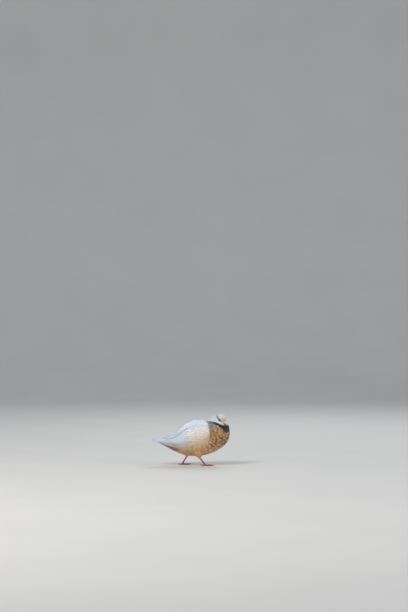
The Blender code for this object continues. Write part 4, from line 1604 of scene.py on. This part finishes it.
TINY = VaneCut(rows=7, columns=3, camber=0.12, thick=0.00012, roll=0.03)
SMALL = VaneCut(rows=9, camber=0.1, thick=0.00014, roll=0.03)
SOFT = VaneCut(rows=9, camber=0.08, tip=1.9, flare=1.1, thick=0.00016, roll=0.03)
COVERT = VaneCut(rows=9, camber=0.045, roll=0.03, thick=0.00018)
GREAT = VaneCut(rows=12, camber=0.03, tip=2.3, widest=0.7, stem=0.7, roll=0.13, unruly=0.004)
PRIMARY = VaneCut(rows=20, columns=7, camber=0.03, tip=1.9, widest=0.62, stem=0.55, roll=0.15, thick=0.0003,
                  unruly=0.003)
QUILL = VaneCut(rows=20, columns=7, camber=0.03, tip=2.4, widest=0.8, stem=0.75, roll=0.13, thick=0.0003,
                unruly=0.003)
RECTRIX = VaneCut(rows=18, columns=7, camber=0.05, tip=2.4, widest=0.8, stem=0.45, roll=0.08, thick=0.0004)


@dataclass
class Plumage:
    """All coats of the bird, grown tract by tract, with bare places and raised rims, in metres.

    Attributes:
        forms: the bird's forms.
        materials: the finishes.
        neck_off_eye: no neck feather starts nearer to an eye's centre.
        head_off_eye: no head feather starts nearer to a place just ahead of an eye.
        ahead: how far that place lies ahead of the eye.
        bill_from: the head's x from which the bill is self.
        bill_over: height over which it is bare there.
        bill_half: half width of the bare place.
        in_neck: head feathers deeper in the neck than this are left out.
        over_wing: how much the breast feathers at a wing's bend are raised.
        bend_width: how far from the bend that fades out.
        rectrices: number of tail feathers.
        sheaves: the stacks of flight feathers, from the lowest up.
    """

    forms: Forms
    materials: dict[str, Material]
    neck_off_eye: float = 0.0061
    head_off_eye: float = 0.0054
    ahead: float = 0.0011
    bill_from: float = 0.0166
    bill_over: float = -0.0072
    bill_half: float = 0.004
    in_neck: float = 0.0036
    over_wing: float = 0.0032
    bend_width: float = 0.007
    rectrices: int = 12
    sheaves: tuple[Sheaf, ...] = (
        Sheaf((0.52, 0.42), (0.34, 0.985), (0.86, 0.985), (0.3, 0.9), 9, 0.0056, -0.003, -0.0014, PRIMARY),
        Sheaf((0.38, 0.22), (0.2, 0.99), (0.82, 0.62), (0.2, 0.96), 13, 0.0072, -0.002, -0.0009, QUILL),
        Sheaf((0.4, 0.36), (0.18, 0.03), (0.8, 0.68), (0.16, 0.02), 4, 0.008, -0.001, 0.0003, QUILL))

    def neck(self) -> Object:
        """Grow the neck, smallest at the face, clear of the eyes."""
        forms, body = self.forms, self.forms.body
        coat = Coat("coat_neck", body, Tract.TRUNK, Slot.NECK, 0)
        u, v = coat.scatter((-0.024, 0.29), (0.0, 1.0), lambda u: 0.0012 + 0.0038 * np.maximum(u, 0.0), 60000)
        u, v = self.showing(body, u, v, 0.0016, 0.62)
        spot = body.beyond(u, v)
        away = np.minimum(*(np.linalg.norm(spot - forms.eye(side), axis=-1) for side in (-1.0, 1.0)))
        u, v = u[away >= self.neck_off_eye], v[away >= self.neck_off_eye]
        size = 0.0044 + 0.022 * np.maximum(u, 0.0)
        coat.grow(u, v, size * 1.25, size * 0.33, -0.0015, -0.0001, SMALL, 0.1)
        return coat.build(self.materials["neck"])

    def at_bend(self, spot: Array) -> Array:
        """Say how near points are to the front edge of a wing, low down: a bell of the distance."""
        edge = self.forms.wing.grid[0]
        away = np.linalg.norm(folded(spot)[:, None] - edge, axis=-1).min(axis=1)
        near = np.exp(-((away / self.bend_width) ** 2)) * (1.0 - ease(0.106, 0.122, spot[:, 2]))
        return near * (1.0 - 0.5 * ease(0.036, 0.044, np.abs(spot[:, 1])))

    def under(self, name: str, number: int, reach: tuple) -> Object:
        """Grow the breast, or belly and vent.

        Feathers in front of a wing's bend are raised, so that they lie over its edge.

        Args:
            name: the piece's name.
            number: its random stream.
            reach: first and last u.

        Returns:
            The coat.
        """
        body = self.forms.body
        coat = Coat(name, body, Tract.TRUNK, Slot.BODY, number)
        u, v = coat.scatter(reach, (0.1, 0.9), lambda u: 0.0024 + 0.001 * ease(0.3, 0.6, u), 60000)
        u, v = self.showing(body, u, v, 0.003)
        near = self.at_bend(body.at(u, v))
        size = (0.01 + 0.005 * ease(0.3, 0.7, u)) * (1.0 - 0.2 * near)
        over = coat.rng.uniform(-0.0006, -0.0001, len(u)) + self.over_wing * near
        coat.grow(u, v, size, size * 0.28, -0.0024, over, SOFT, 0.14)
        return coat.build(self.materials["body"])

    def back(self) -> Object:
        """Grow the back between the wings, raised a little where they leave it free, and the rump."""
        coat = Coat("coat_back", self.forms.body, Tract.TRUNK, Slot.BODY, 9)
        u, v = coat.scatter((0.26, 0.97), (-0.12, 0.12), lambda u: 0.003 + 0.0012 * ease(0.3, 0.6, u))
        size = 0.012 + 0.008 * ease(0.3, 0.6, u)
        raised = 0.0007 * ease(0.26, 0.32, u) * (1.0 - ease(0.62, 0.75, u))
        coat.grow(u, v, size, size * 0.3, -0.0022, raised, COVERT, 0.08)
        return coat.build(self.materials["white"])

    def showing(self, form: Form, u: Array, v: Array, depth: float,
                share: float = 0.8) -> tuple[Array, Array]:
        """Leave out roots that the folded wings or the head cover.

        Args:
            form: the form that they stand on.
            u: the roots' u.
            v: the roots' v.
            depth: how deep a root lies in the form.
            share: how much of the head's oval counts as covered.

        Returns:
            The u and v of those that show.
        """
        spot, _, _, normal = form.jet(u, v)
        root = spot - normal * depth
        keep = (self.forms.under_wing(root) < 0.5) & ~self.forms.in_head(root, share)
        return u[keep], v[keep]

    def head(self) -> Object:
        """Grow the tiny feathers of the head, smallest on the face, clear of eyes and bill."""
        forms = self.forms
        coat = Coat("coat_head", forms.head, Tract.HEAD, Slot.HEAD, 2)
        u, v = coat.scatter((0.02, 0.985), (0.0, 1.0), lambda u: 0.0007 + 0.0006 * u, 60000)
        spot = forms.head.beyond(u, v)
        table = forms.head.table
        own = table.own(spot, forms.shift)
        beside = own[:, [0, 2]] - np.array([table.eye_at[0] + self.ahead, table.eye_at[2]])
        clear = np.linalg.norm(beside, axis=-1) > self.head_off_eye
        clear &= ~((own[:, 0] > self.bill_from) & (own[:, 2] > self.bill_over)
                   & (np.abs(own[:, 1]) < self.bill_half))
        clear &= ~forms.in_body(spot, self.in_neck)
        u, v = u[clear], v[clear]
        size = 0.0016 + 0.0028 * u
        coat.grow(u, v, size * 1.4, size * 0.32, -0.0008, 0.0001, TINY, 0.1)
        return coat.build(self.materials["white"])

    def nape(self) -> Object:
        """Grow the round end of the head over the neck."""
        coat = Coat("coat_nape", self.forms.nape, Tract.HEAD, Slot.HEAD, 10)
        u, v = coat.scatter((0.0, 0.95), (0.02, 0.98), lambda u: 0.0011 + 0 * u, 3000)
        coat.grow(u, v, 0.0046, 0.0013, -0.0007, 0.0003, TINY, 0.1)
        return coat.build(self.materials["white"])

    def covert_end(self, v: Array) -> Array:
        """Give the u at which the row of great coverts starts: further forward at the lower edge."""
        return 0.41 - 0.17 * v

    def coverts(self) -> Coat:
        """Grow the right wing's small coverts, larger to the rear, and the row of great coverts."""
        coat = Coat("coverts_right", self.forms.wing, Tract.WING, Slot.WING, 3)
        u, v = coat.scatter((-0.008, 0.44), (0.03, 1.005),
                            lambda u: 0.0028 + 0.0036 * ease(0.0, 0.4, u), 60000)
        small = u < self.covert_end(v)
        u, v = u[small], v[small]
        size = 0.0085 + 0.014 * ease(0.0, 0.42, u)
        over = coat.rng.uniform(-0.0004, -0.0001, len(u))
        coat.grow(u, v, size, size * 0.3, -0.0011, over, COVERT, 0.05, 0.1 * (v - 0.5))
        row = np.linspace(0.1, 0.99, 20)
        coat.grow(self.covert_end(row), row, 0.046 - 0.012 * row, 0.0046, -0.0014, -0.0004, GREAT,
                  heading=-0.05)
        return coat

    def scapulars(self) -> Coat:
        """Grow the right shoulder's feathers along the wing's upper edge."""
        coat = Coat("scapulars_right", self.forms.wing, Tract.WING, Slot.WING, 4)
        u, v = coat.scatter((0.02, 0.56), (0.05, 0.16), lambda u: 0.0036 + 0 * u)
        size = 0.014 + 0.01 * ease(0.1, 0.5, u)
        coat.grow(u, v, size, size * 0.28, -0.0008, 0.0001, COVERT, 0.05, 0.04)
        return coat

    def flight(self) -> Coat:
        """Lay the right wing's primaries, secondaries and tertials, each stack over the last."""
        coat = Coat("flight_right", self.forms.wing, Tract.WING, Slot.WING, 5)
        for sheaf in self.sheaves:
            sheaf.lay(coat)
        return coat

    def wings(self) -> list[Object]:
        """Build coverts, scapulars and flight feathers of both wings, the left as the right's mirror."""
        made = []
        coats = ((self.coverts(), "white"), (self.scapulars(), "white"), (self.flight(), "quill"))
        for coat, finish in coats:
            made.append(coat.build(self.materials[finish]))
            made.append(coat.build(self.materials[finish], coat.name.replace("right", "left")))
        *_, right, left = made
        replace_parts(right, "flight_feathers_right")
        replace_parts(left, "flight_feathers_left")
        return made

    def tail(self) -> Object:
        """Lay the tail feathers, the middle pair on top, and the coverts over their roots."""
        coat = Coat("tail_feathers", self.forms.tail, Tract.TAIL, Slot.TAIL, 6)
        t = RECTRIX.steps()
        middle = (self.rectrices - 1) / 2
        place = (np.arange(self.rectrices) - middle) / middle
        ends = 1.0 - 0.045 * place**2
        us = 0.04 + (ends[:, None] - 0.04) * t
        vs = 0.5 + place[:, None] * (0.2 + 0.262 * t)
        sink = 0.0014 * np.abs(place) + np.where(place > 0, 0.0001, 0.0)
        coat.lay(us, vs, 0.0064, -0.001 - sink, -0.0006 - sink, RECTRIX)
        u, v = coat.scatter((-0.02, 0.3), (0.08, 0.92), lambda u: 0.0045 + 0 * u, 6000)
        coat.grow(u, v, 0.019, 0.0056, -0.0006, 0.0006, COVERT, 0.05)
        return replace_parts(coat.build(self.materials["quill"]), "tail")

    def thighs(self) -> list[Object]:
        """Grow the soft feathers of both thighs, down to the ankle."""
        made = []
        for k, (side, thigh) in enumerate(self.forms.thighs.items()):
            coat = Coat(f"coat_thigh_{side}", thigh, Tract.THIGH, Slot.THIGH, 7 + k)
            u, v = coat.scatter((0.1, 0.97), (0.0, 1.0), lambda u: 0.0024 + 0 * u, 9000)
            coat.grow(u, v, 0.0085 - 0.003 * u, 0.0024, -0.0016, 0.0004, SOFT, 0.12)
            made.append(coat.build(self.materials["body"]))
        return made

    def build(self) -> list[Object]:
        """Grow every tract, from the neck back to the tail."""
        return [self.neck(), self.under("coat_breast", 1, (0.26, 0.52)),
                self.under("coat_belly", 8, (0.51, 0.985)), self.back(), self.head(), self.nape(),
                *self.wings(), self.tail(), *self.thighs()]


# ---- eyes, bill and legs ----
@dataclass
class Eye:
    """One eye: a wet ball with a bulging cornea, and a fleshy ring of lid round it.

    Attributes:
        forms: the bird's forms.
        side: left or right.
        lid_radius: radius of the lid's ring.
        lid_thick: its half thickness.
        sunk: how deep the eye sits below its place on the head.
        ahead: how far its axis turns to the bill, to one outwards.
        above: how far its axis turns upwards.
        cornea: how far the cornea bulges, as a share of the radius.
        beads: number of fine beads on the lid.
    """

    forms: Forms
    side: str
    lid_radius: float = 0.0042
    lid_thick: float = 0.0006
    sunk: float = 0.0006
    ahead: float = 0.42
    above: float = 0.06
    cornea: float = 0.035
    beads: int = 30

    def __post_init__(self) -> None:
        """Work out the eye's centre, its radius, and its turn, with the outward axis as x."""
        table = self.forms.head.table
        sign = 1.0 if self.side == "left" else -1.0
        head = table.turn() / table.size
        out = unit(head @ np.array([self.ahead, sign, self.above]))
        along = unit(head @ np.array([1.0, -self.ahead * sign, 0.0]))
        self.centre = self.forms.eye(sign) - out * self.sunk
        self.turn = np.stack([out, along, np.cross(out, along) * sign], axis=1)
        self.radius = table.eye_radius * table.size

    def ball(self, material: Material) -> Object:
        """Make the eyeball: rings about its axis, pushed out by a bell over the pupil as a cornea."""
        p = np.linspace(0.0, math.pi, 60)[:, None] * 0.998 + 0.003
        r = around(64)
        swell = 1.0 + self.cornea * np.exp(-((p / 0.45) ** 2))
        ball = np.stack([np.cos(p) + 0 * r, np.sin(p) * np.cos(r), np.sin(p) * np.sin(r)], -1)
        rings = (ball * (swell * self.radius)[..., None]) @ self.turn.T + self.centre
        obj = tube(f"eye_{self.side}_ball", rings)
        paint(obj, "ring", np.repeat(p.ravel() / (math.pi / 2), 64))
        return finished(obj, material, Slot.EYE, f"eye_{self.side}")

    def lids(self, material: Material) -> Object:
        """Make the ring of lid: a torus about the eye's axis, thicker above, with fine beads."""
        sides, round_it = 14, 96
        a, b = around(round_it).T, around(sides)
        heavy = self.lid_thick * (1.0 + 0.25 * np.sin(a) + 0.1 * np.sin(a * self.beads))
        reach = self.lid_radius * (1.0 - 0.06 * np.sin(a) ** 2) + heavy * np.cos(b)
        seat = math.sqrt(self.radius**2 - self.lid_radius**2) + 0.0001
        rings = np.stack([seat + heavy * 1.2 * np.sin(b), reach * np.cos(a), reach * np.sin(a)], -1)
        points = (rings @ self.turn.T + self.centre).reshape(-1, 3)
        i, j = np.meshgrid(np.arange(round_it), np.arange(sides), indexing="ij")
        k, l = (i + 1) % round_it, (j + 1) % sides
        faces = quads(i * sides + j, i * sides + l, k * sides + j, k * sides + l)
        obj = mesh_from(f"eyelid_{self.side}", points, outward(points, faces))
        return finished(obj, material, Slot.HEAD)


@dataclass
class Bill:
    """Both halves of the bill and the cere over its root, in the head's own frame, in metres.

    Attributes:
        forms: the bird's forms.
        x: places from the root to the tip.
        top: height of the bill's ridge at them.
        split: height of the line where both halves meet.
        under: height of the lower edge.
        half: half width.
        gape: half the gap between both halves.
        cere_at: centre of a lobe of the cere; the other lobe is its mirror.
        cere_radii: the lobe's three radii.
        nostril_at: centre of a nostril.
        nostril_radii: its three radii.
    """

    forms: Forms
    x: tuple = (0.0125, 0.017, 0.022, 0.027, 0.031, 0.0338, 0.035)
    top: tuple = (-0.001, -0.002, -0.0034, -0.0042, -0.0048, -0.0062, -0.008)
    split: tuple = (-0.0058, -0.0062, -0.0068, -0.0074, -0.0082, -0.0092, -0.0094)
    under: tuple = (-0.0084, -0.009, -0.0097, -0.0103, -0.0108, -0.011, -0.0108)
    half: tuple = (0.0036, 0.0034, 0.003, 0.0025, 0.002, 0.0014, 0.0008)
    gape: float = 0.00004
    cere_at: tuple = (0.0192, 0.0017, -0.0024)
    cere_radii: tuple = (0.0044, 0.0022, 0.0019)
    nostril_at: tuple = (0.0212, 0.0032, -0.0044)
    nostril_radii: tuple = (0.0016, 0.0003, 0.0004)

    def placed(self, name: str, own: Array) -> Object:
        """Skin rings of the head's own frame in the bird's frame."""
        return tube(name, self.forms.head.table.placed(own, self.forms.shift))

    def half_bill(self, name: str, top: tuple, under: tuple, material: Material) -> Object:
        """Loft one mandible: squarish ovals, |cos|^0.8 tall and |sin|^0.8 wide, from root to tip.

        Args:
            name: the node that it replaces.
            top: heights of its upper edge.
            under: heights of its lower edge.
            material: its finish.

        Returns:
            The piece.
        """
        x = self.x[0] + (self.x[-1] - self.x[0]) * np.sin(np.linspace(0.0, math.pi / 2, 40))
        row = spline(self.x, np.column_stack([top, under, self.half]))(x)
        r = around(36)
        share = (x - self.x[0]) / (self.x[-1] - self.x[0])
        middle, tall = (row[:, 0] + row[:, 1])[:, None] / 2, (row[:, 0] - row[:, 1])[:, None] / 2 - self.gape
        tip = np.sqrt(np.clip(1.0 - share**14, 0.04, 1.0))[:, None]
        across = row[:, 2][:, None] * tip * np.sign(np.sin(r)) * np.abs(np.sin(r)) ** 0.8
        height = middle + tall * tip * np.sign(np.cos(r)) * np.abs(np.cos(r)) ** 0.8
        obj = self.placed(f"{name}_horn", np.stack([x[:, None] + 0 * r, across, height], -1))
        paint(obj, "ridge", np.repeat(ease(0.55, 1.0, share), 36))
        return finished(obj, material, Slot.BILL, name)

    def lobe(self, side: float) -> Array:
        """Give the rings of one lobe of the cere: a ball that narrows to the front, finely wrinkled."""
        ball = bulb_rings(np.zeros(3), self.cere_radii, 40, 40)
        pinch = 1.0 - 0.45 * ease(-0.3 * self.cere_radii[0], self.cere_radii[0], ball[..., :1])
        wrinkle = 1.0 + 0.02 * np.sin(ball[..., :1] * 5200.0)
        own = ball * np.concatenate([np.ones_like(pinch), pinch * wrinkle, pinch * wrinkle], -1)
        own = own + np.array(self.cere_at) * (1.0, side, 1.0)
        own[..., 2] -= 0.16 * (own[..., 0] - self.cere_at[0])
        return own

    def build(self, horn: Material, soft: Material, dark: Material) -> list[Object]:
        """Make both mandibles, the two lobes of the cere, and under them dark ovals of painted shade that
        stand for the nostril slits.

        Args:
            horn: finish of the mandibles.
            soft: finish of the cere.
            dark: finish of the slits.

        Returns:
            The pieces.
        """
        upper = self.half_bill("bill_upper", self.top, self.split, horn)
        lower = self.half_bill("bill_lower", self.split, self.under, horn)
        lobes, slits = [], []
        for side in (-1.0, 1.0):
            lobes.append(self.placed("lobe", self.lobe(side)))
            centre = np.array(self.nostril_at) * (1.0, side, 1.0)
            # dark ovals of painted shade that stand for the nostril openings
            slits.append(self.placed("slit", bulb_rings(centre, self.nostril_radii, 16, 12)))
        return [upper, lower, finished(joined(lobes, "cere_lobes"), soft, Slot.CERE, "cere"),
                finished(joined(slits, "nostrils"), dark, Slot.BILL)]


@dataclass
class Leg:
    """One bare leg: a scaled shank, four scaled toes with pads, and curved claws, in metres.

    Attributes:
        forms: the bird's forms.
        side: left or right.
        toe_radius: radius of a toe at its root.
        centre_z: height of the toes' middle lines.
        claw_radius: radius of a claw at its root.
        socket: how far the shank reaches into the thigh.
        pad_sunk: how far the middle of the pad lies under the foot's joint.
        pad_radii: the pad's three radii.
        plate: length of a plate on the shank.
        plate_rise: how far its edge stands out.
        toe_plate: length of a plate on a toe.
        toe_rise: how far its edge stands out.
    """

    forms: Forms
    side: str
    toe_radius: float = 0.0025
    centre_z: float = 0.002
    claw_radius: float = 0.00135
    socket: float = 0.004
    pad_sunk: float = 0.0016
    pad_radii: tuple = (0.004, 0.0034, 0.0036)
    plate: float = 0.0021
    plate_rise: float = 0.00036
    toe_plate: float = 0.0019
    toe_rise: float = 0.00034

    def scaled(self, name: str, middle: Array, radii: Array, up: Array, pitch: float, rise: float,
               sole: bool) -> Object:
        """Sweep a round limb whose front bears overlapping plates.

        A plate is a saw-tooth of the distance along the limb, fading out round to the back; the sole,
        if any, is pressed flat on the floor.

        Args:
            name: the piece's name.
            middle: (n, 3) middle line.
            radii: n radii.
            up: the way that the plates face.
            pitch: length of one plate.
            rise: how far its edge stands out.
            sole: whether the underside rests on the floor.

        Returns:
            The piece.
        """
        run = unit(np.gradient(middle, axis=0))
        across = unit(np.cross(run, up))
        front = np.cross(across, run)
        r = around(28)
        steps = np.linalg.norm(np.diff(middle, axis=0), axis=-1)
        far = np.concatenate([[0.0], np.cumsum(steps)])[:, None]
        phase = np.mod(far / pitch, 1.0)
        face = ease(-0.15, 0.55, np.cos(r))
        beads = 0.35 * np.abs(np.sin(far / pitch * TURN) * np.sin(r * 7)) * (1.0 - face)
        plate = phase**1.5 * face + beads
        radius = radii[:, None] + rise * (plate - 0.5)
        spoke = across[:, None] * np.sin(r)[..., None] + front[:, None] * np.cos(r)[..., None]
        rings = middle[:, None] + radius[..., None] * spoke
        if sole:
            rings[..., 2] = np.maximum(rings[..., 2], 0.0)
        obj = tube(name, rings)
        paint(obj, "ridge", np.clip(1.0 - plate * 1.3, 0.0, 1.0).ravel())
        return obj

    def build(self, skin: Material, horn: Material) -> list[Object]:
        """Make the shank with its pad, the toes, and the claws."""
        table, shift = self.forms.legs[self.side], self.forms.shift
        ankle, joint = table.ankle + shift, table.joint + shift
        t = np.linspace(0.0, 1.0, 130)
        line = (ankle - unit(joint - ankle) * self.socket)[None] * (1 - t)[:, None] + joint[None] * t[:, None]
        radii = even_spline(table.shank)(t)
        shank = self.scaled("shank", line, radii, (1.0, 0.0, 0.25), self.plate, self.plate_rise, False)
        pad = bulb_rings(joint - (0.0, 0.0, self.pad_sunk), self.pad_radii, 24, 28)
        pad[..., 2] = np.maximum(pad[..., 2], 0.0)
        ball = tube("pad", pad)
        paint(ball, "ridge", np.full(24 * 28, 0.4))
        leg = joined([shank, ball], f"shank_{self.side}_scales")
        made = [finished(leg, skin, Slot.LEG, f"shank_{self.side}")]
        for toe in table.toes:
            heading = math.radians(table.toe_out + table.inward * toe.spread)
            way = np.array([math.cos(heading), math.sin(heading), 0.0])
            made.append(self.toe(toe, way, joint, skin))
            made.append(self.claw(toe, way, joint, horn))
        return made

    def toe(self, toe: Toe, way: Array, joint: Array, material: Material) -> Object:
        """Make one toe: it swells at each joint as a cosine of the distance along it, and tapers.

        Args:
            toe: which one.
            way: its direction on the floor, of length one.
            joint: the foot's joint, where it starts.
            material: its finish.

        Returns:
            The piece.
        """
        t = np.linspace(0.0, 1.0, 28 * toe.joints + 30)
        swell = 1.0 + 0.11 * np.cos(TURN * t * toe.joints)
        close = np.sqrt(np.clip(1.0 - np.clip((t - 0.9) / 0.1, 0.0, 1.0) ** 2 * 0.7, 0.05, 1.0))
        radii = self.toe_radius * swell * (1.0 - 0.28 * t) * close
        start = np.array([joint[0], joint[1], self.centre_z])
        middle = start + way * (0.001 + t * (toe.length - 0.001))[:, None]
        name = f"toe_{toe.name}_{self.side}"
        obj = self.scaled(f"{name}_scales", middle, radii, UP, self.toe_plate, self.toe_rise, True)
        return finished(obj, material, Slot.LEG, name)

    def claw(self, toe: Toe, way: Array, joint: Array, material: Material) -> Object:
        """Make a toe's claw: an oval horn that arches and drops to its point, thinning as 1 - 0.93 t^1.4.

        Args:
            toe: the toe that bears it.
            way: the toe's direction on the floor.
            joint: the foot's joint.
            material: its finish.

        Returns:
            The piece.
        """
        t = np.linspace(0.0, 1.0, 26)
        height = 0.0024 + 0.0009 * np.sin(math.pi * t) - 0.0017 * t**2
        foot = np.array([joint[0], joint[1], 0.0])
        middle = foot + way * (toe.length - 0.0022 + t * toe.claw)[:, None] + UP * height[:, None]
        radius = (self.claw_radius * (1.0 - 0.93 * t**1.4))[:, None, None]
        r = around(20)[..., None]
        rings = middle[:, None] + radius * (np.cross(way, UP) * np.cos(r) * 0.75 + UP * np.sin(r))
        name = f"claw_{toe.name}_{self.side}"
        obj = tube(f"{name}_horn", rings)
        paint(obj, "ridge", np.repeat(t, 20))
        return finished(obj, material, Slot.CLAW, name)


# ---- the studio ----
@dataclass
class Studio:
    """A plain pale floor that sweeps up into a wall, soft lights, and a distant level camera."""

    distance: float = 6.0
    camera_x: float = 0.0466
    camera_z: float = 0.5576
    view_height: float = 2.142
    floor_colour: tuple = srgb(214, 212, 208)

    def floor(self) -> None:
        """Make the floor: a profile, flat, then a quarter circle, then a wall, carried along X."""
        bend, back, radius = np.linspace(0.0, math.pi / 2, 24), 4.0, 2.5
        y = np.concatenate([[-10.0, -2.0], back + radius * np.sin(bend), [back + radius]])
        z = np.concatenate([[0.0, 0.0], radius * (1.0 - np.cos(bend)), [7.0]])
        x = np.linspace(-9.0, 9.0, 3)
        points = np.stack([np.repeat(x, len(y)), np.tile(y, 3), np.tile(z, 3)], -1)
        i, j = np.meshgrid(np.arange(2), np.arange(len(y) - 1), indexing="ij")
        a, b = i * len(y) + j, (i + 1) * len(y) + j
        obj = mesh_from("studio_floor", points, quads(a, a + 1, b, b + 1))
        mat, shade, shader = started("floor_paint")
        cloud = shade.step(shade.noise(3.0, 3.0), 0.3, 0.7)
        worn = tuple(c * 0.97 for c in self.floor_colour)
        shade.wire(shade.blend(cloud, self.floor_colour, worn), shader.inputs["Base Color"])
        put(shader, Roughness=0.85)
        obj.data.materials.append(mat)

    def light(self, name: str, at: tuple, size: float, power: float, colour: tuple) -> None:
        """Hang one square soft light, aimed at the bird.

        Args:
            name: its name.
            at: its place.
            size: length of its side.
            power: watts.
            colour: its colour.
        """
        lamp = bpy.data.lights.new(name, "AREA")
        lamp.size = size
        lamp.energy = power
        lamp.color = colour
        obj = added(name, lamp)
        obj.location = at
        obj.rotation_euler = (Vector((0.0, 0.0, 0.09)) - Vector(at)).to_track_quat("-Z", "Y").to_euler()

    def build(self) -> None:
        """Set up floor, lights, sky light and camera."""
        self.floor()
        self.light("key", (-1.6, -2.2, 2.6), 1.2, 66.0, (1.0, 0.97, 0.93))
        self.light("fill", (2.8, -2.0, 1.6), 2.2, 22.0, (0.93, 0.96, 1.0))
        self.light("back", (0.6, 2.2, 2.4), 1.6, 26.0, (0.93, 0.97, 1.0))
        world = bpy.data.worlds.new("studio_light")
        world.use_nodes = True
        put(world.node_tree.nodes["Background"], Color=(0.86, 0.92, 1.0, 1.0), Strength=0.5)
        bpy.context.scene.world = world
        camera = bpy.data.cameras.new("camera")
        camera.sensor_fit = "VERTICAL"
        camera.angle_y = 2 * math.atan(self.view_height / 2 / self.distance)
        camera.clip_end = 100.0
        obj = added("camera", camera)
        obj.location = (self.camera_x, -self.distance, self.camera_z)
        obj.rotation_euler = (math.pi / 2, 0.0, 0.0)
        bpy.context.scene.camera = obj
        bpy.context.scene.view_settings.view_transform = "Standard"


def finishes() -> dict[str, Material]:
    """Make every finish of the bird once."""
    groups = {"barbs": barb_group(), "grain": grain_group()}
    made = {
        "white": PlumageFinish("plumage_white", barbs=46.0, rim=1.05, roughness=0.74),
        "quill": PlumageFinish("plumage_quill", barbs=90.0, rim=0.9, shaft=0.86, roughness=0.6),
        "neck": PlumageFinish("plumage_neck", barbs=30.0, rim=1.1, roughness=0.62),
        "body": PlumageFinish("plumage_body", barbs=40.0, rim=1.12, roughness=0.72),
        "skin": SoftFinish("skin_down", None, 420.0, 0.35, 0.85),
        "horn": SoftFinish("horn_bill", srgb(132, 100, 84), 500.0, 0.35, 0.38, 0.15, 0.2, srgb(64, 46, 38)),
        "cere": SoftFinish("cere_powder", srgb(226, 214, 204), 900.0, 0.22, 0.72, 0.5),
        # painted shade for the nostril openings
        "dark": SoftFinish("nostril_dark", srgb(38, 26, 22), 500.0, 0.2, 0.6),
        "lid": SoftFinish("lid_skin", srgb(182, 166, 158), 1200.0, 0.3, 0.6, 0.4),
        "leg": SoftFinish("leg_scales", srgb(184, 84, 116), 700.0, 0.3, 0.48, 0.3, 0.1, srgb(132, 46, 78)),
        "claw": SoftFinish("claw_horn_dark", srgb(92, 74, 66), 600.0, 0.3, 0.36, 0.15, 0.2, srgb(40, 32, 30)),
        "eye": EyeFinish(),
    }
    return {name: finish.build(groups) for name, finish in made.items()}


def main() -> None:
    """Build the bird and its studio, and report the pieces."""
    logging.basicConfig(level=logging.INFO, format="%(name)s: %(message)s")
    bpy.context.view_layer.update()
    materials = finishes()
    forms = Forms()
    skin = Skin(forms).build(materials["skin"])
    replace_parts(skin, "head", "neck", "trunk", "thigh_left", "thigh_right", "wing_left", "wing_right")
    pieces = [skin, *Plumage(forms, materials).build()]
    for side in ("left", "right"):
        eye = Eye(forms, side)
        pieces += [eye.ball(materials["eye"]), eye.lids(materials["lid"])]
        pieces += Leg(forms, side).build(materials["leg"], materials["claw"])
    pieces += Bill(forms).build(materials["horn"], materials["cere"], materials["dark"])
    Studio().build()
    log.info("%d pieces, %d triangles", len(pieces), sum(len(p.data.polygons) for p in pieces))


if __name__ == "__main__":
    main()
